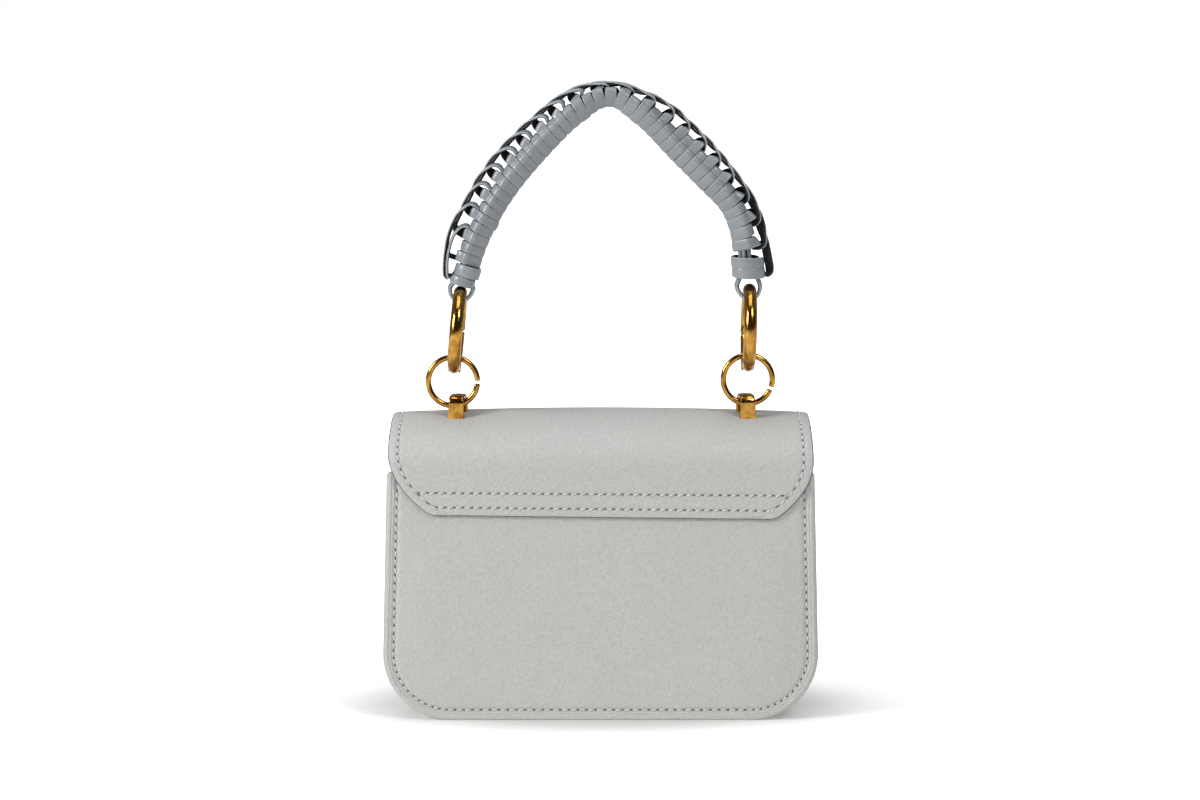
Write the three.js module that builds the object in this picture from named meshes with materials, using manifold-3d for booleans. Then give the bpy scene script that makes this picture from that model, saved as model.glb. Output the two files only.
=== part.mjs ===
// A small structured flap bag with a laced leather top handle hung on brass rings.
// Millimetres, +Z up. +X runs along the width and +Y from the back panel to the front.
// The origin is the centre of the bag's footprint, on the surface that it stands on.

import * as THREE from 'three';
import { mergeVertices } from 'three/addons/utils/BufferGeometryUtils.js';
import Module from 'manifold-3d';

const wasm = await Module();
wasm.setup();

// Clearance between pieces that touch, and overlap of solids that are joined into one piece.
const GAP = 0.3;
const FUSE = 0.2;
const WELD = 1e-4;

// Body: two flat panels with rounded lower corners, joined by a channel-shaped gusset.
const BODY_HEIGHT = 135.7;
const HALF_DEPTH = 33.3;
const PANEL = { lowHalfWidth: 96.5, topHalfWidth: 94.2, top: 112, corner: 30, thickness: 2 };
const PANEL_FACE = 31;
const GUSSET = { thickness: 1.5, flange: 5, edgeInset: 0.2, top: 110 };
const CORNER_STEPS = 8;

// Flap: one sheet from the back, over the arched top and down the front.
const FLAP = {
  thickness: 2, halfWidth: 93.7, backEdge: 92, frontEdge: 40, archRise: 22,
  crownWaist: 0.7, crownBow: 2.2, frontCorner: 30, edgeSlope: -0.012,
};
const FLAP_CUT = { inset: 18, drop: 32, power: 2.35 };
const FLAP_COLUMNS = 6;
const FLAP_ROWS = { back: 6, crowding: 1.5, arch: 14, front: 3, corner: 6 };

// Hidden closure: one plain disc let into the front panel and into the flap.
const MAGNET = { radius: 6, thickness: 2, z: 58, sides: 20 };

// Brackets: brass bridges whose feet pass through slots in the flap and are turned outwards.
const BRACKET = {
  y: -7.5, halfSpan: 5.9, leg: 2, rise: 2, topCorner: 3.2, topWidth: 6.4, footWidth: 8,
  tabLength: 3, tabTop: 129, toeIn: 8, cornerSteps: 5,
};

// Rings: a split wire ring through each bracket, then a heavy ring with a sprung gate.
const WIRE_RING = { outer: 12.2, wire: 1.3, split: 7, steps: 22, sides: 8 };
const GATE_RING = { radius: 16.8, tube: 2.9, steps: 26, sides: 10 };
const GATE = {
  hinge: -80, tip: -14, pin: 0.9, knuckle: 2.9, tongue: 0.8, tongueRadius: 2.5, steps: 7,
  overlap: 14, neck: 18, fuse: 1, shortSteps: 3, pinSides: 10, knuckleSides: 16, sweepSides: 40,
};

// The two ends of the chain, as the bag hangs them: x of the bracket, centre of the wire ring and
// where it is split, then the x where the heavy ring hangs on it and its lean about Y.
const SIDES = [
  { name: 'left', bracketX: -63.5, ringX: -65.7, ringZ: 148.8, splitAt: -2, hangX: -64.8, lean: 5 },
  { name: 'right', bracketX: 64.7, ringX: 65.5, ringZ: 149.7, splitAt: -21, hangX: 65.5, lean: 1 },
];

// Handle: the middle line of the wrapped core, in the upright plane of the rings.
const HANDLE_Y = BRACKET.y;
const HANDLE_LINE = [
  { x: -60.6, z: 193.2 },
  { x: -57.1, z: 204.8 },
  { x: -52.8, z: 215.6 },
  { x: -45.6, z: 228.7 },
  { x: -36.6, z: 241.2 },
  { x: -18.4, z: 261.2 },
  { x: -7, z: 271.3 },
  { x: 5, z: 275 },
  { x: 16.4, z: 269.2 },
  { x: 35.6, z: 250 },
  { x: 47.3, z: 238.3 },
  { x: 57.5, z: 227.5 },
  { x: 62.2, z: 216.5 },
  { x: 63.7, z: 206 },
  { x: 64.2, z: 195.6 },
];
const LACE = { width: 4.4, thickness: 1.2 };
const WRAP = { radius: 5.15, valley: 4.7, bore: 3.75, tip: 4.4, sides: 10, step: 7 };
// The two crests of one turn: place within its width and share of the tip that they rise to.
const WRAP_CRESTS = [
  { place: 0.2, share: 0.3 },
  { place: 0.85, share: 1 },
];
const CUFF = { radius: 6.6, bore: 5.2, turns: 2, length: 8.8, openGap: 4.2 };
const HITCHES = 20;
// How far the spine stands out from the middle line, at fractions of the handle's length. The lace
// is drawn in where the handle bends over its crown.
const SPINE_REACH = [
  { at: 0, reach: 8.9 },
  { at: 0.04, reach: 10.4 },
  { at: 0.085, reach: 11.6 },
  { at: 0.16, reach: 12.7 },
  { at: 0.33, reach: 12.7 },
  { at: 0.4, reach: 10.8 },
  { at: 0.46, reach: 8.5 },
  { at: 0.515, reach: 6.7 },
  { at: 0.55, reach: 7.4 },
  { at: 0.6, reach: 10.6 },
  { at: 0.65, reach: 13.2 },
  { at: 0.7, reach: 13.6 },
  { at: 0.78, reach: 12.3 },
  { at: 0.87, reach: 9.8 },
  { at: 0.95, reach: 9.9 },
  { at: 1, reach: 11.7 },
];
// One arch of the spine: fractions of a pitch before its hook, and drop below the spine's line.
const ARCH_STEPS = [
  { back: 1.02, drop: 1 },
  { back: 0.75, drop: 0.3 },
  { back: 0.45, drop: 0 },
  { back: 0.22, drop: 0.6 },
  { back: 0.08, drop: 2.2 },
];
// Drops below the spine's line where its end strips lie close, bend and turn down into the cuffs.
const SPINE_END = { close: 0.3, bend: 1, turn: 2 };
const CORE_RADIUS = 3.4;
const LOOP = {
  sideways: 5.2, neck: 3.75, top: 2.5, rise: 1.8, draw: 0.3, turnX: 0.78, turnZ: 0.74,
  thickness: 1.3, width: 4.2, steps: 14,
};

const leather = { color: 0xc6c7c3, roughness: 0.6, metalness: 0 };
const lace = { color: 0x98a1a9, roughness: 0.5, metalness: 0 };
const brass = { color: 0xb0822f, roughness: 0.3, metalness: 1 };
const steel = { color: 0x9a9c9e, roughness: 0.4, metalness: 1 };

const bag = new THREE.Group();
const { degToRad } = THREE.MathUtils;

function addPiece(name, geometry, finish, parent = bag) {
  const mesh = new THREE.Mesh(geometry, new THREE.MeshStandardMaterial(finish));
  mesh.name = name;
  parent.add(mesh);
}

// Keeps only positions and joins the vertices that several faces share.
function weld(geometry) {
  const bare = geometry.clone();
  bare.deleteAttribute('normal');
  bare.deleteAttribute('uv');
  return mergeVertices(bare, WELD);
}

function solid(geometry) {
  const welded = weld(geometry);
  return new wasm.Manifold(new wasm.Mesh({
    numProp: 3,
    vertProperties: new Float32Array(welded.attributes.position.array),
    triVerts: new Uint32Array(welded.index.array),
  }));
}

function toGeometry(manifold) {
  const mesh = manifold.getMesh();
  const geometry = new THREE.BufferGeometry();
  geometry.setAttribute('position', new THREE.BufferAttribute(new Float32Array(mesh.vertProperties), 3));
  geometry.setIndex(new THREE.BufferAttribute(new Uint32Array(mesh.triVerts), 1));
  return geometry;
}

function join(geometries) {
  return geometries.map(solid).reduce((whole, next) => whole.add(next));
}

function signedVolume(points, index) {
  let volume = 0;
  for (let i = 0; i < index.length; i += 3) {
    const [a, b, c] = [points[index[i]], points[index[i + 1]], points[index[i + 2]]];
    volume += a.dot(b.clone().cross(c));
  }
  return volume;
}

// Skin through rings of points. Open ends are capped by strips that pair each point with the one
// opposite, which suits round, flat and channel sections; a closed loft runs back to its first ring.
function loft(rings, closed = false) {
  const count = rings[0].length;
  const points = rings.flat();
  const index = [];
  const quad = (a, b, c, d) => index.push(a, b, c, a, c, d);
  const spans = closed ? rings.length : rings.length - 1;
  for (let i = 0; i < spans; i++) {
    const here = i * count;
    const next = ((i + 1) % rings.length) * count;
    for (let j = 0; j < count; j++) {
      const k = (j + 1) % count;
      quad(here + j, here + k, next + k, next + j);
    }
  }
  if (!closed) {
    const last = (rings.length - 1) * count;
    for (let j = 0; j < count / 2 - 1; j++) {
      quad(count - 1 - j, count - 2 - j, j + 1, j);
      quad(last + j, last + j + 1, last + count - 2 - j, last + count - 1 - j);
    }
  }
  if (signedVolume(points, index) < 0) index.reverse();
  const geometry = new THREE.BufferGeometry().setFromPoints(points);
  geometry.setIndex(index);
  return geometry;
}

// Round bar about X, used as a pin and as a cutter.
function crossBar(radius, length, y, z, sides) {
  return new THREE.CylinderGeometry(radius, radius, length, sides).rotateZ(Math.PI / 2).translate(0, y, z);
}

// Panels and gusset

function panelShape() {
  const { lowHalfWidth, topHalfWidth, top, corner } = PANEL;
  const shape = new THREE.Shape();
  shape.moveTo(-topHalfWidth, top);
  shape.lineTo(-lowHalfWidth, corner);
  shape.absarc(-lowHalfWidth + corner, corner, corner, Math.PI, 1.5 * Math.PI, false);
  shape.absarc(lowHalfWidth - corner, corner, corner, 1.5 * Math.PI, 2 * Math.PI, false);
  shape.lineTo(topHalfWidth, top);
  return shape;
}

function panelGeometry(outerY) {
  const extrusion = { depth: PANEL.thickness, bevelEnabled: false, curveSegments: CORNER_STEPS };
  return weld(new THREE.ExtrudeGeometry(panelShape(), extrusion).rotateX(Math.PI / 2).translate(0, outerY, 0));
}

// Points of the panel's edge from the top left round to the top right, with their outward normals.
function gussetStations() {
  const { lowHalfWidth, topHalfWidth, top, corner } = PANEL;
  const taper = Math.atan2(lowHalfWidth - topHalfWidth, top - corner);
  const topX = lowHalfWidth - (GUSSET.top - corner) * Math.tan(taper);
  const stations = [{ x: -topX, z: GUSSET.top, angle: Math.PI }];
  for (const side of [-1, 1]) {
    for (let i = 0; i <= CORNER_STEPS; i++) {
      const start = side < 0 ? Math.PI : 1.5 * Math.PI;
      const angle = start + (i / CORNER_STEPS) * (Math.PI / 2);
      const centreX = side * (lowHalfWidth - corner);
      stations.push({ x: centreX + corner * Math.cos(angle), z: corner + corner * Math.sin(angle), angle });
    }
  }
  stations.push({ x: topX, z: GUSSET.top, angle: 0 });
  return stations;
}

function gussetGeometry() {
  const { thickness, flange, edgeInset } = GUSSET;
  const outerY = PANEL_FACE - PANEL.thickness - GAP;
  const innerY = outerY - thickness;
  const section = [
    [-innerY, edgeInset], [-innerY, flange], [innerY, flange], [innerY, edgeInset],
    [outerY, edgeInset], [outerY, flange + thickness], [-outerY, flange + thickness], [-outerY, edgeInset],
  ];
  const rings = gussetStations().map(({ x, z, angle }) => section.map(([y, inset]) => (
    new THREE.Vector3(x - inset * Math.cos(angle), y, z - inset * Math.sin(angle)))));
  return loft(rings);
}

// Flap

const ARCH_BASE = BODY_HEIGHT - FLAP.archRise;

// Stations along the flap: place and outward direction in the YZ plane, and how far round the arch.
function flapStations() {
  const stations = [];
  for (let i = 0; i < FLAP_ROWS.back; i++) {
    const t = (i / FLAP_ROWS.back) ** FLAP_ROWS.crowding;
    const z = THREE.MathUtils.lerp(FLAP.backEdge, ARCH_BASE, t);
    stations.push({ y: -HALF_DEPTH, z, ny: -1, nz: 0, arch: 0 });
  }
  for (let i = 0; i <= FLAP_ROWS.arch; i++) {
    const angle = Math.PI * (1 - i / FLAP_ROWS.arch);
    const normal = new THREE.Vector2(Math.cos(angle) / HALF_DEPTH, Math.sin(angle) / FLAP.archRise).normalize();
    stations.push({
      y: HALF_DEPTH * Math.cos(angle), z: ARCH_BASE + FLAP.archRise * Math.sin(angle),
      ny: normal.x, nz: normal.y, arch: Math.sin(angle),
    });
  }
  const cornerTop = FLAP.frontEdge + FLAP.frontCorner;
  for (let i = 1; i <= FLAP_ROWS.front; i++) {
    const z = THREE.MathUtils.lerp(ARCH_BASE, cornerTop, i / FLAP_ROWS.front);
    stations.push({ y: HALF_DEPTH, z, ny: 1, nz: 0, arch: 0 });
  }
  for (let i = 1; i <= FLAP_ROWS.corner; i++) {
    const z = cornerTop - FLAP.frontCorner * Math.sin((i / FLAP_ROWS.corner) * (Math.PI / 2));
    stations.push({ y: HALF_DEPTH, z, ny: 1, nz: 0, arch: 0 });
  }
  return stations;
}

// Half width: the back corners are cut in a convex curve, the front ones are round.
function flapHalfWidth(station, fromBack) {
  const { inset, drop, power } = FLAP_CUT;
  let width = FLAP.halfWidth - FLAP.crownWaist * station.arch ** 2;
  width -= inset * Math.max(0, 1 - fromBack / drop) ** power;
  const rise = station.z - FLAP.frontEdge;
  if (station.y > 0 && rise < FLAP.frontCorner) {
    const side = FLAP.frontCorner - rise;
    width -= FLAP.frontCorner - Math.sqrt(Math.max(0, FLAP.frontCorner ** 2 - side ** 2));
  }
  return width;
}

function flapGeometry() {
  const stations = flapStations();
  let fromBack = 0;
  const rings = stations.map((station, i) => {
    if (i > 0) fromBack += Math.hypot(station.y - stations[i - 1].y, station.z - stations[i - 1].z);
    const width = flapHalfWidth(station, fromBack);
    const slope = FLAP.edgeSlope * Math.max(0, 1 - fromBack / FLAP_CUT.drop);
    const row = (depth) => Array.from({ length: FLAP_COLUMNS + 1 }, (_, j) => {
      const across = (2 * j) / FLAP_COLUMNS - 1;
      const x = width * across;
      const drop = FLAP.crownBow * across ** 2 * station.arch - slope * x;
      return new THREE.Vector3(x, station.y - depth * station.ny, station.z - depth * station.nz - drop);
    });
    return [...row(0), ...row(FLAP.thickness).reverse()];
  });
  return loft(rings);
}

// The bracket's feet stand in the flap at these two places, in the bracket's own turned frame.
const footOffsets = [-1, 1].map((end) => end * (BRACKET.halfSpan - BRACKET.leg / 2));

// Direction along X from one end of the chain towards the middle of the bag.
function inward(side) {
  return -Math.sign(side.ringX);
}

function placeOnSide(geometry, side) {
  return geometry.rotateZ(degToRad(-inward(side) * BRACKET.toeIn)).translate(side.bracketX, BRACKET.y, 0);
}

function flapSlots() {
  const slotWidth = BRACKET.footWidth + 2 * GAP;
  const slotLength = BRACKET.leg + 2 * GAP;
  const slotHeight = 2 * (BODY_HEIGHT - BRACKET.tabTop);
  return SIDES.flatMap((side) => footOffsets.map((y) => placeOnSide(
    new THREE.BoxGeometry(slotWidth, slotLength, slotHeight).translate(0, y, BODY_HEIGHT), side)));
}

const magnetY = PANEL_FACE + GAP / 2;

function magnetDisc(clearance) {
  const { thickness, z, sides } = MAGNET;
  const radius = MAGNET.radius + clearance;
  return new THREE.CylinderGeometry(radius, radius, thickness + 2 * clearance, sides).translate(0, magnetY, z);
}

const flapSolid = [...flapSlots(), magnetDisc(GAP)].reduce(
  (sheet, cutter) => sheet.subtract(solid(cutter)), solid(flapGeometry()));

addPiece('back_panel', panelGeometry(-PANEL_FACE + PANEL.thickness), leather);
addPiece('front_panel', toGeometry(solid(panelGeometry(PANEL_FACE)).subtract(solid(magnetDisc(GAP)))), leather);
addPiece('gusset', gussetGeometry(), leather);
addPiece('flap', toGeometry(flapSolid), leather);
addPiece('flap_magnet', weld(magnetDisc(0)), steel);

// Brackets: the side profile is an arched bridge on two legs with turned-out tabs.

function bracketGeometry(side) {
  const { halfSpan, leg, rise, topCorner, topWidth, footWidth, tabLength, tabTop, cornerSteps } = BRACKET;
  const sag = WIRE_RING.outer - WIRE_RING.wire;
  const reach = Math.abs(side.ringX - side.bracketX) + topWidth / 2;
  const lift = sag - Math.sqrt(sag ** 2 - reach ** 2);
  const holeTop = side.ringZ - WIRE_RING.outer + 2 * WIRE_RING.wire + lift + GAP;
  const top = holeTop + rise;
  const inner = halfSpan - leg;
  const profile = new THREE.Shape();
  profile.moveTo(-halfSpan - tabLength, tabTop - leg);
  profile.lineTo(-inner, tabTop - leg);
  profile.lineTo(-inner, holeTop);
  profile.lineTo(inner, holeTop);
  profile.lineTo(inner, tabTop - leg);
  profile.lineTo(halfSpan + tabLength, tabTop - leg);
  profile.lineTo(halfSpan + tabLength, tabTop);
  profile.lineTo(halfSpan, tabTop);
  profile.absarc(halfSpan - topCorner, top - topCorner, topCorner, 0, Math.PI / 2, false);
  profile.absarc(-halfSpan + topCorner, top - topCorner, topCorner, Math.PI / 2, Math.PI, false);
  profile.lineTo(-halfSpan, tabTop);
  profile.lineTo(-halfSpan - tabLength, tabTop);
  // The profile's x and y become Y and Z, and the extrusion, of unit depth, runs along X.
  const extrusion = { depth: 1, bevelEnabled: false, curveSegments: cornerSteps };
  const geometry = new THREE.ExtrudeGeometry(profile, extrusion).translate(0, 0, -0.5)
    .rotateX(Math.PI / 2).rotateZ(Math.PI / 2);
  const position = geometry.attributes.position;
  for (let i = 0; i < position.count; i++) {
    const fromTop = THREE.MathUtils.clamp((top - position.getZ(i)) / (top - tabTop), 0, 1);
    position.setX(i, position.getX(i) * THREE.MathUtils.lerp(topWidth, footWidth, fromTop));
  }
  return placeOnSide(weld(geometry), side);
}

// Rings

// Round bar bent along an arc in the YZ plane about the origin, from one angle to another.
function arcBar(radius, tube, from, to, steps, sides) {
  const rings = [];
  for (let i = 0; i <= steps; i++) {
    const angle = degToRad(from + ((to - from) * i) / steps);
    rings.push(Array.from({ length: sides }, (_, j) => {
      const turn = ((j + 0.5) / sides) * 2 * Math.PI;
      const reach = radius + tube * Math.cos(turn);
      return new THREE.Vector3(tube * Math.sin(turn), reach * Math.cos(angle), reach * Math.sin(angle));
    }));
  }
  return loft(rings);
}

function wireRingGeometry(side) {
  const { outer, wire, split, steps, sides } = WIRE_RING;
  const bar = arcBar(outer - wire, wire, split / 2, 360 - split / 2, steps, sides);
  return bar.rotateX(degToRad(side.splitAt)).rotateZ(-Math.PI / 2);
}

const hingeAngle = degToRad(GATE.hinge);
const hingeY = GATE_RING.radius * Math.cos(hingeAngle);
const hingeZ = GATE_RING.radius * Math.sin(hingeAngle);
const tipReach = 2 * GATE_RING.radius * Math.sin(degToRad(GATE.tip - GATE.hinge) / 2);
const fullLength = 4 * GATE_RING.tube;

function gateRingArc(from, to, steps) {
  return solid(arcBar(GATE_RING.radius, GATE_RING.tube, from, to, steps, GATE_RING.sides));
}

function hingeBar(radius, length) {
  const sides = radius < GATE.knuckle ? GATE.pinSides : GATE.knuckleSides;
  return solid(crossBar(radius, length, hingeY, hingeZ, radius < tipReach ? sides : GATE.sweepSides));
}

// The ring ends in a forked knuckle at the hinge and in a hollow-cut seat that the gate's tip meets.
function gateRingSolid() {
  const turn = 360 + GATE.hinge;
  const { overlap, fuse, shortSteps } = GATE;
  const main = gateRingArc(GATE.tip + overlap, turn, GATE_RING.steps);
  const knuckle = gateRingArc(turn - fuse, turn + overlap, shortSteps)
    .intersect(hingeBar(GATE.knuckle, fullLength));
  const seat = gateRingArc(GATE.tip - overlap, GATE.tip + overlap + fuse, shortSteps)
    .subtract(hingeBar(tipReach + GAP, fullLength));
  const slotWidth = 2 * (GATE.tongue + GAP);
  const slot = hingeBar(GATE.knuckle + 2 * GAP, slotWidth);
  const pin = hingeBar(GATE.pin, slotWidth + GATE_RING.tube);
  return main.add(knuckle).add(seat).subtract(slot).add(pin);
}

// The gate: a curved bar with a flat tongue that turns on the pin between the knuckle's cheeks.
function gateSolid() {
  const bar = gateRingArc(GATE.hinge, GATE.tip + GATE.overlap, GATE.steps)
    .intersect(hingeBar(tipReach, fullLength))
    .subtract(hingeBar(GATE.knuckle + GAP, fullLength));
  const slab = solid(new THREE.BoxGeometry(2 * GATE.tongue, 4 * GATE_RING.radius, 4 * GATE_RING.radius));
  const neck = gateRingArc(GATE.hinge, GATE.hinge + GATE.neck, GATE.shortSteps).intersect(slab);
  const eye = hingeBar(GATE.tongueRadius, 2 * GATE.tongue);
  return bar.add(neck).add(eye).subtract(hingeBar(GATE.pin + GAP, fullLength));
}

// The heavy ring hangs under the wire ring's top, leaning about Y.
function gateRingPlace(side) {
  const insideTop = side.ringZ + WIRE_RING.outer - 2 * WIRE_RING.wire;
  const hang = GATE_RING.radius - GATE_RING.tube;
  const lean = degToRad(side.lean);
  return {
    lean,
    x: side.hangX + hang * Math.sin(lean),
    z: insideTop - GAP + hang * Math.cos(lean),
  };
}

for (const side of SIDES) {
  addPiece(`bracket_${side.name}`, bracketGeometry(side), brass);

  const wireHolder = new THREE.Group();
  wireHolder.position.set(side.ringX, HANDLE_Y, side.ringZ);
  addPiece(`wire_ring_${side.name}`, wireRingGeometry(side), brass, wireHolder);
  bag.add(wireHolder);

  const place = gateRingPlace(side);
  const ringHolder = new THREE.Group();
  ringHolder.position.set(place.x, HANDLE_Y, place.z);
  ringHolder.rotation.y = place.lean;
  addPiece(`gate_ring_${side.name}`, toGeometry(gateRingSolid()), brass, ringHolder);
  addPiece(`gate_${side.name}`, toGeometry(gateSolid()), brass, ringHolder);
  bag.add(ringHolder);
}

// Handle

const handleCurve = new THREE.CatmullRomCurve3(
  HANDLE_LINE.map(({ x, z }) => new THREE.Vector3(x, HANDLE_Y, z)), false, 'centripetal');
handleCurve.arcLengthDivisions = 600;
const handleLength = handleCurve.getLength();

// Middle point and outward direction at a distance along the handle, run straight on past its ends.
function handleFrame(along) {
  const t = THREE.MathUtils.clamp(along / handleLength, 0, 1);
  const tangent = handleCurve.getTangentAt(t);
  const centre = handleCurve.getPointAt(t).addScaledVector(tangent, along - t * handleLength);
  return { centre, tangent, outward: new THREE.Vector3(-tangent.z, 0, tangent.x) };
}

function handlePoint(along, out, y = 0) {
  const { centre, outward } = handleFrame(along);
  return centre.addScaledVector(outward, out).add(new THREE.Vector3(0, y, 0));
}

// Ring of points round the handle; the point that faces outwards may be drawn to a tip.
function wrapRing(along, radius, tip = 0) {
  return Array.from({ length: WRAP.sides }, (_, j) => {
    const turn = (j / WRAP.sides) * 2 * Math.PI;
    const reach = radius + (j === 0 ? tip : 0);
    return handlePoint(along, reach * Math.cos(turn), reach * Math.sin(turn));
  });
}

// Plain rings from one distance to another, at steps that bore and core share so that they bend alike.
function plainRings(from, to, radius) {
  const places = [from];
  for (let along = Math.ceil(from / WRAP.step) * WRAP.step; along < to; along += WRAP.step) {
    if (along > from) places.push(along);
  }
  return [...places, to].map((along) => wrapRing(along, radius));
}

// Ribbed sleeve of wound turns with an open bore. Every other turn may rise to a tip at its far side,
// under the spine.
function woundSleeve(from, to, turns, radius, bore, tip) {
  const turn = (to - from) / turns;
  const valley = radius - (WRAP.radius - WRAP.valley);
  const outside = [];
  for (let k = 0; k < turns; k++) {
    const raise = k % 2 === 0 ? Math.min(tip, spineReach(from + (k + 1) * turn) - radius) : 0;
    outside.push(wrapRing(from + k * turn, valley));
    for (const { place, share } of WRAP_CRESTS) {
      outside.push(wrapRing(from + (k + place) * turn, radius, share * raise));
    }
  }
  outside.push(wrapRing(to, valley));
  return loft([...outside, ...plainRings(from, to, bore).reverse()], true);
}

function spineReach(along) {
  const at = THREE.MathUtils.clamp(along / handleLength, 0, 1);
  const next = Math.max(1, SPINE_REACH.findIndex((row) => row.at >= at));
  const [low, high] = [SPINE_REACH[next - 1], SPINE_REACH[next]];
  return THREE.MathUtils.mapLinear(at, low.at, high.at, low.reach, high.reach);
}

const lacedFrom = CUFF.length;
const lacedTo = handleLength - CUFF.length - CUFF.openGap;
const pitch = (lacedTo - lacedFrom) / HITCHES;

// Flat lace along a route of [distance along the handle, distance out], edge-on to the front.
function laceStrip(route) {
  const rings = route.map(([along, out], i) => {
    const before = route[Math.max(0, i - 1)];
    const after = route[Math.min(route.length - 1, i + 1)];
    const step = new THREE.Vector2(after[0] - before[0], after[1] - before[1]).normalize();
    const half = LACE.thickness / 2;
    const side = (end, y) => handlePoint(along - end * half * step.y, out + end * half * step.x, y);
    const edge = LACE.width / 2;
    return [side(1, -edge), side(1, edge), side(-1, edge), side(-1, -edge)];
  });
  return loft(rings);
}

// One arch of the spine: it leaves the hook before, runs along the outer edge and hooks down to
// the core between two turns.
function spineArch(hook) {
  const low = WRAP.bore + LACE.thickness / 2;
  const route = ARCH_STEPS.map(({ back, drop }) => {
    const along = hook - back * pitch;
    return [along, spineReach(along) - drop];
  });
  return laceStrip([...route, [hook, (spineReach(hook) + low) / 2], [hook, low]]);
}

// The spine's ends: the first arch rises from the left cuff, the last one runs on to the right cuff.
function spineEnds() {
  const { close, bend, turn } = SPINE_END;
  const seat = (CUFF.radius + CUFF.bore) / 2;
  const from = LACE.width / 2;
  const to = handleLength - LACE.width / 2;
  const firstHook = lacedFrom + pitch / 2;
  const lastHook = lacedTo - pitch / 2;
  const onSpine = (along, drop) => [along, spineReach(along) - drop];
  const rise = laceStrip([
    [from, seat], onSpine(from, bend), onSpine(from + LACE.thickness, close),
    onSpine(lacedFrom, 0), onSpine(firstHook, bend),
  ]);
  const fall = laceStrip([
    onSpine(lastHook - LACE.thickness, turn), onSpine(lastHook + pitch / 2, close), onSpine(to - pitch / 2, 0),
    onSpine(to - LACE.thickness, close), onSpine(to, turn), [to, seat],
  ]);
  return [rise, fall];
}

function handleLaceSolid() {
  const hooks = Array.from({ length: HITCHES }, (_, k) => lacedFrom + (k + 0.5) * pitch);
  return join([
    woundSleeve(lacedFrom - FUSE, lacedTo, 2 * HITCHES, WRAP.radius, WRAP.bore, WRAP.tip),
    woundSleeve(0, lacedFrom, CUFF.turns, CUFF.radius, CUFF.bore, 0),
    woundSleeve(lacedTo + CUFF.openGap, handleLength, CUFF.turns, CUFF.radius, CUFF.bore, 0),
    ...hooks.map(spineArch),
    ...spineEnds(),
  ]);
}

const coreFrom = CUFF.length - 1;
const coreTo = handleLength - coreFrom;

// End loop: flat lace out of the cuff, round under the top of the heavy ring and back into the cuff.
function endLoopGeometry(side) {
  const place = gateRingPlace(side);
  const ringTop = new THREE.Vector3(0, 0, GATE_RING.radius)
    .applyAxisAngle(new THREE.Vector3(0, 1, 0), place.lean).add(new THREE.Vector3(place.x, HANDLE_Y, place.z));
  const under = GATE_RING.tube + GAP + LOOP.thickness / 2;
  const isLeft = side.name === 'left';
  const mouth = isLeft ? 0 : handleLength;
  const belly = ringTop.clone().lerp(handlePoint(mouth, 0), LOOP.draw).setZ(ringTop.z + LOOP.rise);
  const half = (end) => [
    handlePoint(isLeft ? coreFrom - GAP : coreTo + GAP, -inward(side) * end * LOOP.top),
    handlePoint(mouth, -inward(side) * end * LOOP.neck),
    belly.clone().add(new THREE.Vector3(end * LOOP.sideways, 0, 0)),
    ringTop.clone().add(new THREE.Vector3(end * LOOP.turnX * under, 0, -LOOP.turnZ * under)),
  ];
  const bottom = ringTop.clone().add(new THREE.Vector3(0, 0, -under));
  const curve = new THREE.CatmullRomCurve3([...half(-1), bottom, ...half(1).reverse()], false, 'centripetal');
  const rings = Array.from({ length: LOOP.steps + 1 }, (_, i) => {
    const centre = curve.getPointAt(i / LOOP.steps);
    const tangent = curve.getTangentAt(i / LOOP.steps);
    const across = new THREE.Vector3(-tangent.z, 0, tangent.x).multiplyScalar(LOOP.thickness / 2);
    const edge = new THREE.Vector3(0, LOOP.width / 2, 0);
    return [
      centre.clone().add(across).add(edge), centre.clone().add(across).sub(edge),
      centre.clone().sub(across).sub(edge), centre.clone().sub(across).add(edge),
    ];
  });
  return loft(rings);
}

addPiece('handle_lace', toGeometry(handleLaceSolid()), lace);
addPiece('handle_core', loft(plainRings(coreFrom, coreTo, CORE_RADIUS)), lace);
for (const side of SIDES) addPiece(`end_loop_${side.name}`, endLoopGeometry(side), lace);

export default bag;
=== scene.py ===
"""Looks of a small structured flap bag with a laced leather handle hung on brass rings.

Sizes are in millimetres and are put into metres where a mesh is made. X runs along the width, Y from
the back panel to the front, Z up, and the bag stands on Z = 0.
"""

import bmesh
import bpy
import numpy as np
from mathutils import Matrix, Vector


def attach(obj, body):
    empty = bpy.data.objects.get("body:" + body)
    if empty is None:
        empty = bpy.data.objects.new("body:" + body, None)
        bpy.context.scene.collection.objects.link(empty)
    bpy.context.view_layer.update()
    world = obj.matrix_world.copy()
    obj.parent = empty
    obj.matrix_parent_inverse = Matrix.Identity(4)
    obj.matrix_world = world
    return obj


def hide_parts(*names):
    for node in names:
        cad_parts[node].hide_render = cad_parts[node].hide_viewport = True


MM = 0.001

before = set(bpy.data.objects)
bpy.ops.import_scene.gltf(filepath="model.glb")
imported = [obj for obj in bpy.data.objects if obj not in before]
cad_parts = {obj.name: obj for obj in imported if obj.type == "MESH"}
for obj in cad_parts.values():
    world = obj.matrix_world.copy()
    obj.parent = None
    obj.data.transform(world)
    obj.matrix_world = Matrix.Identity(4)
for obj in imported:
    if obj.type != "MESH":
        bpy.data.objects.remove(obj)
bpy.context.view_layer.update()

# Body: panels with rounded lower corners, joined by a channel-shaped gusset.
PANEL = dict(low_half=96.5, top_half=94.2, top=112.0, corner=30.0, top_corner=2.5, face=31.0, thickness=2.0)
PANEL_SEAM = dict(inset=4.7, valley=0.75, spread=1.15, puff=0.75, pitch=3.9, bead=2.3, bead_drop=1.5, crease=0.28)
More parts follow.
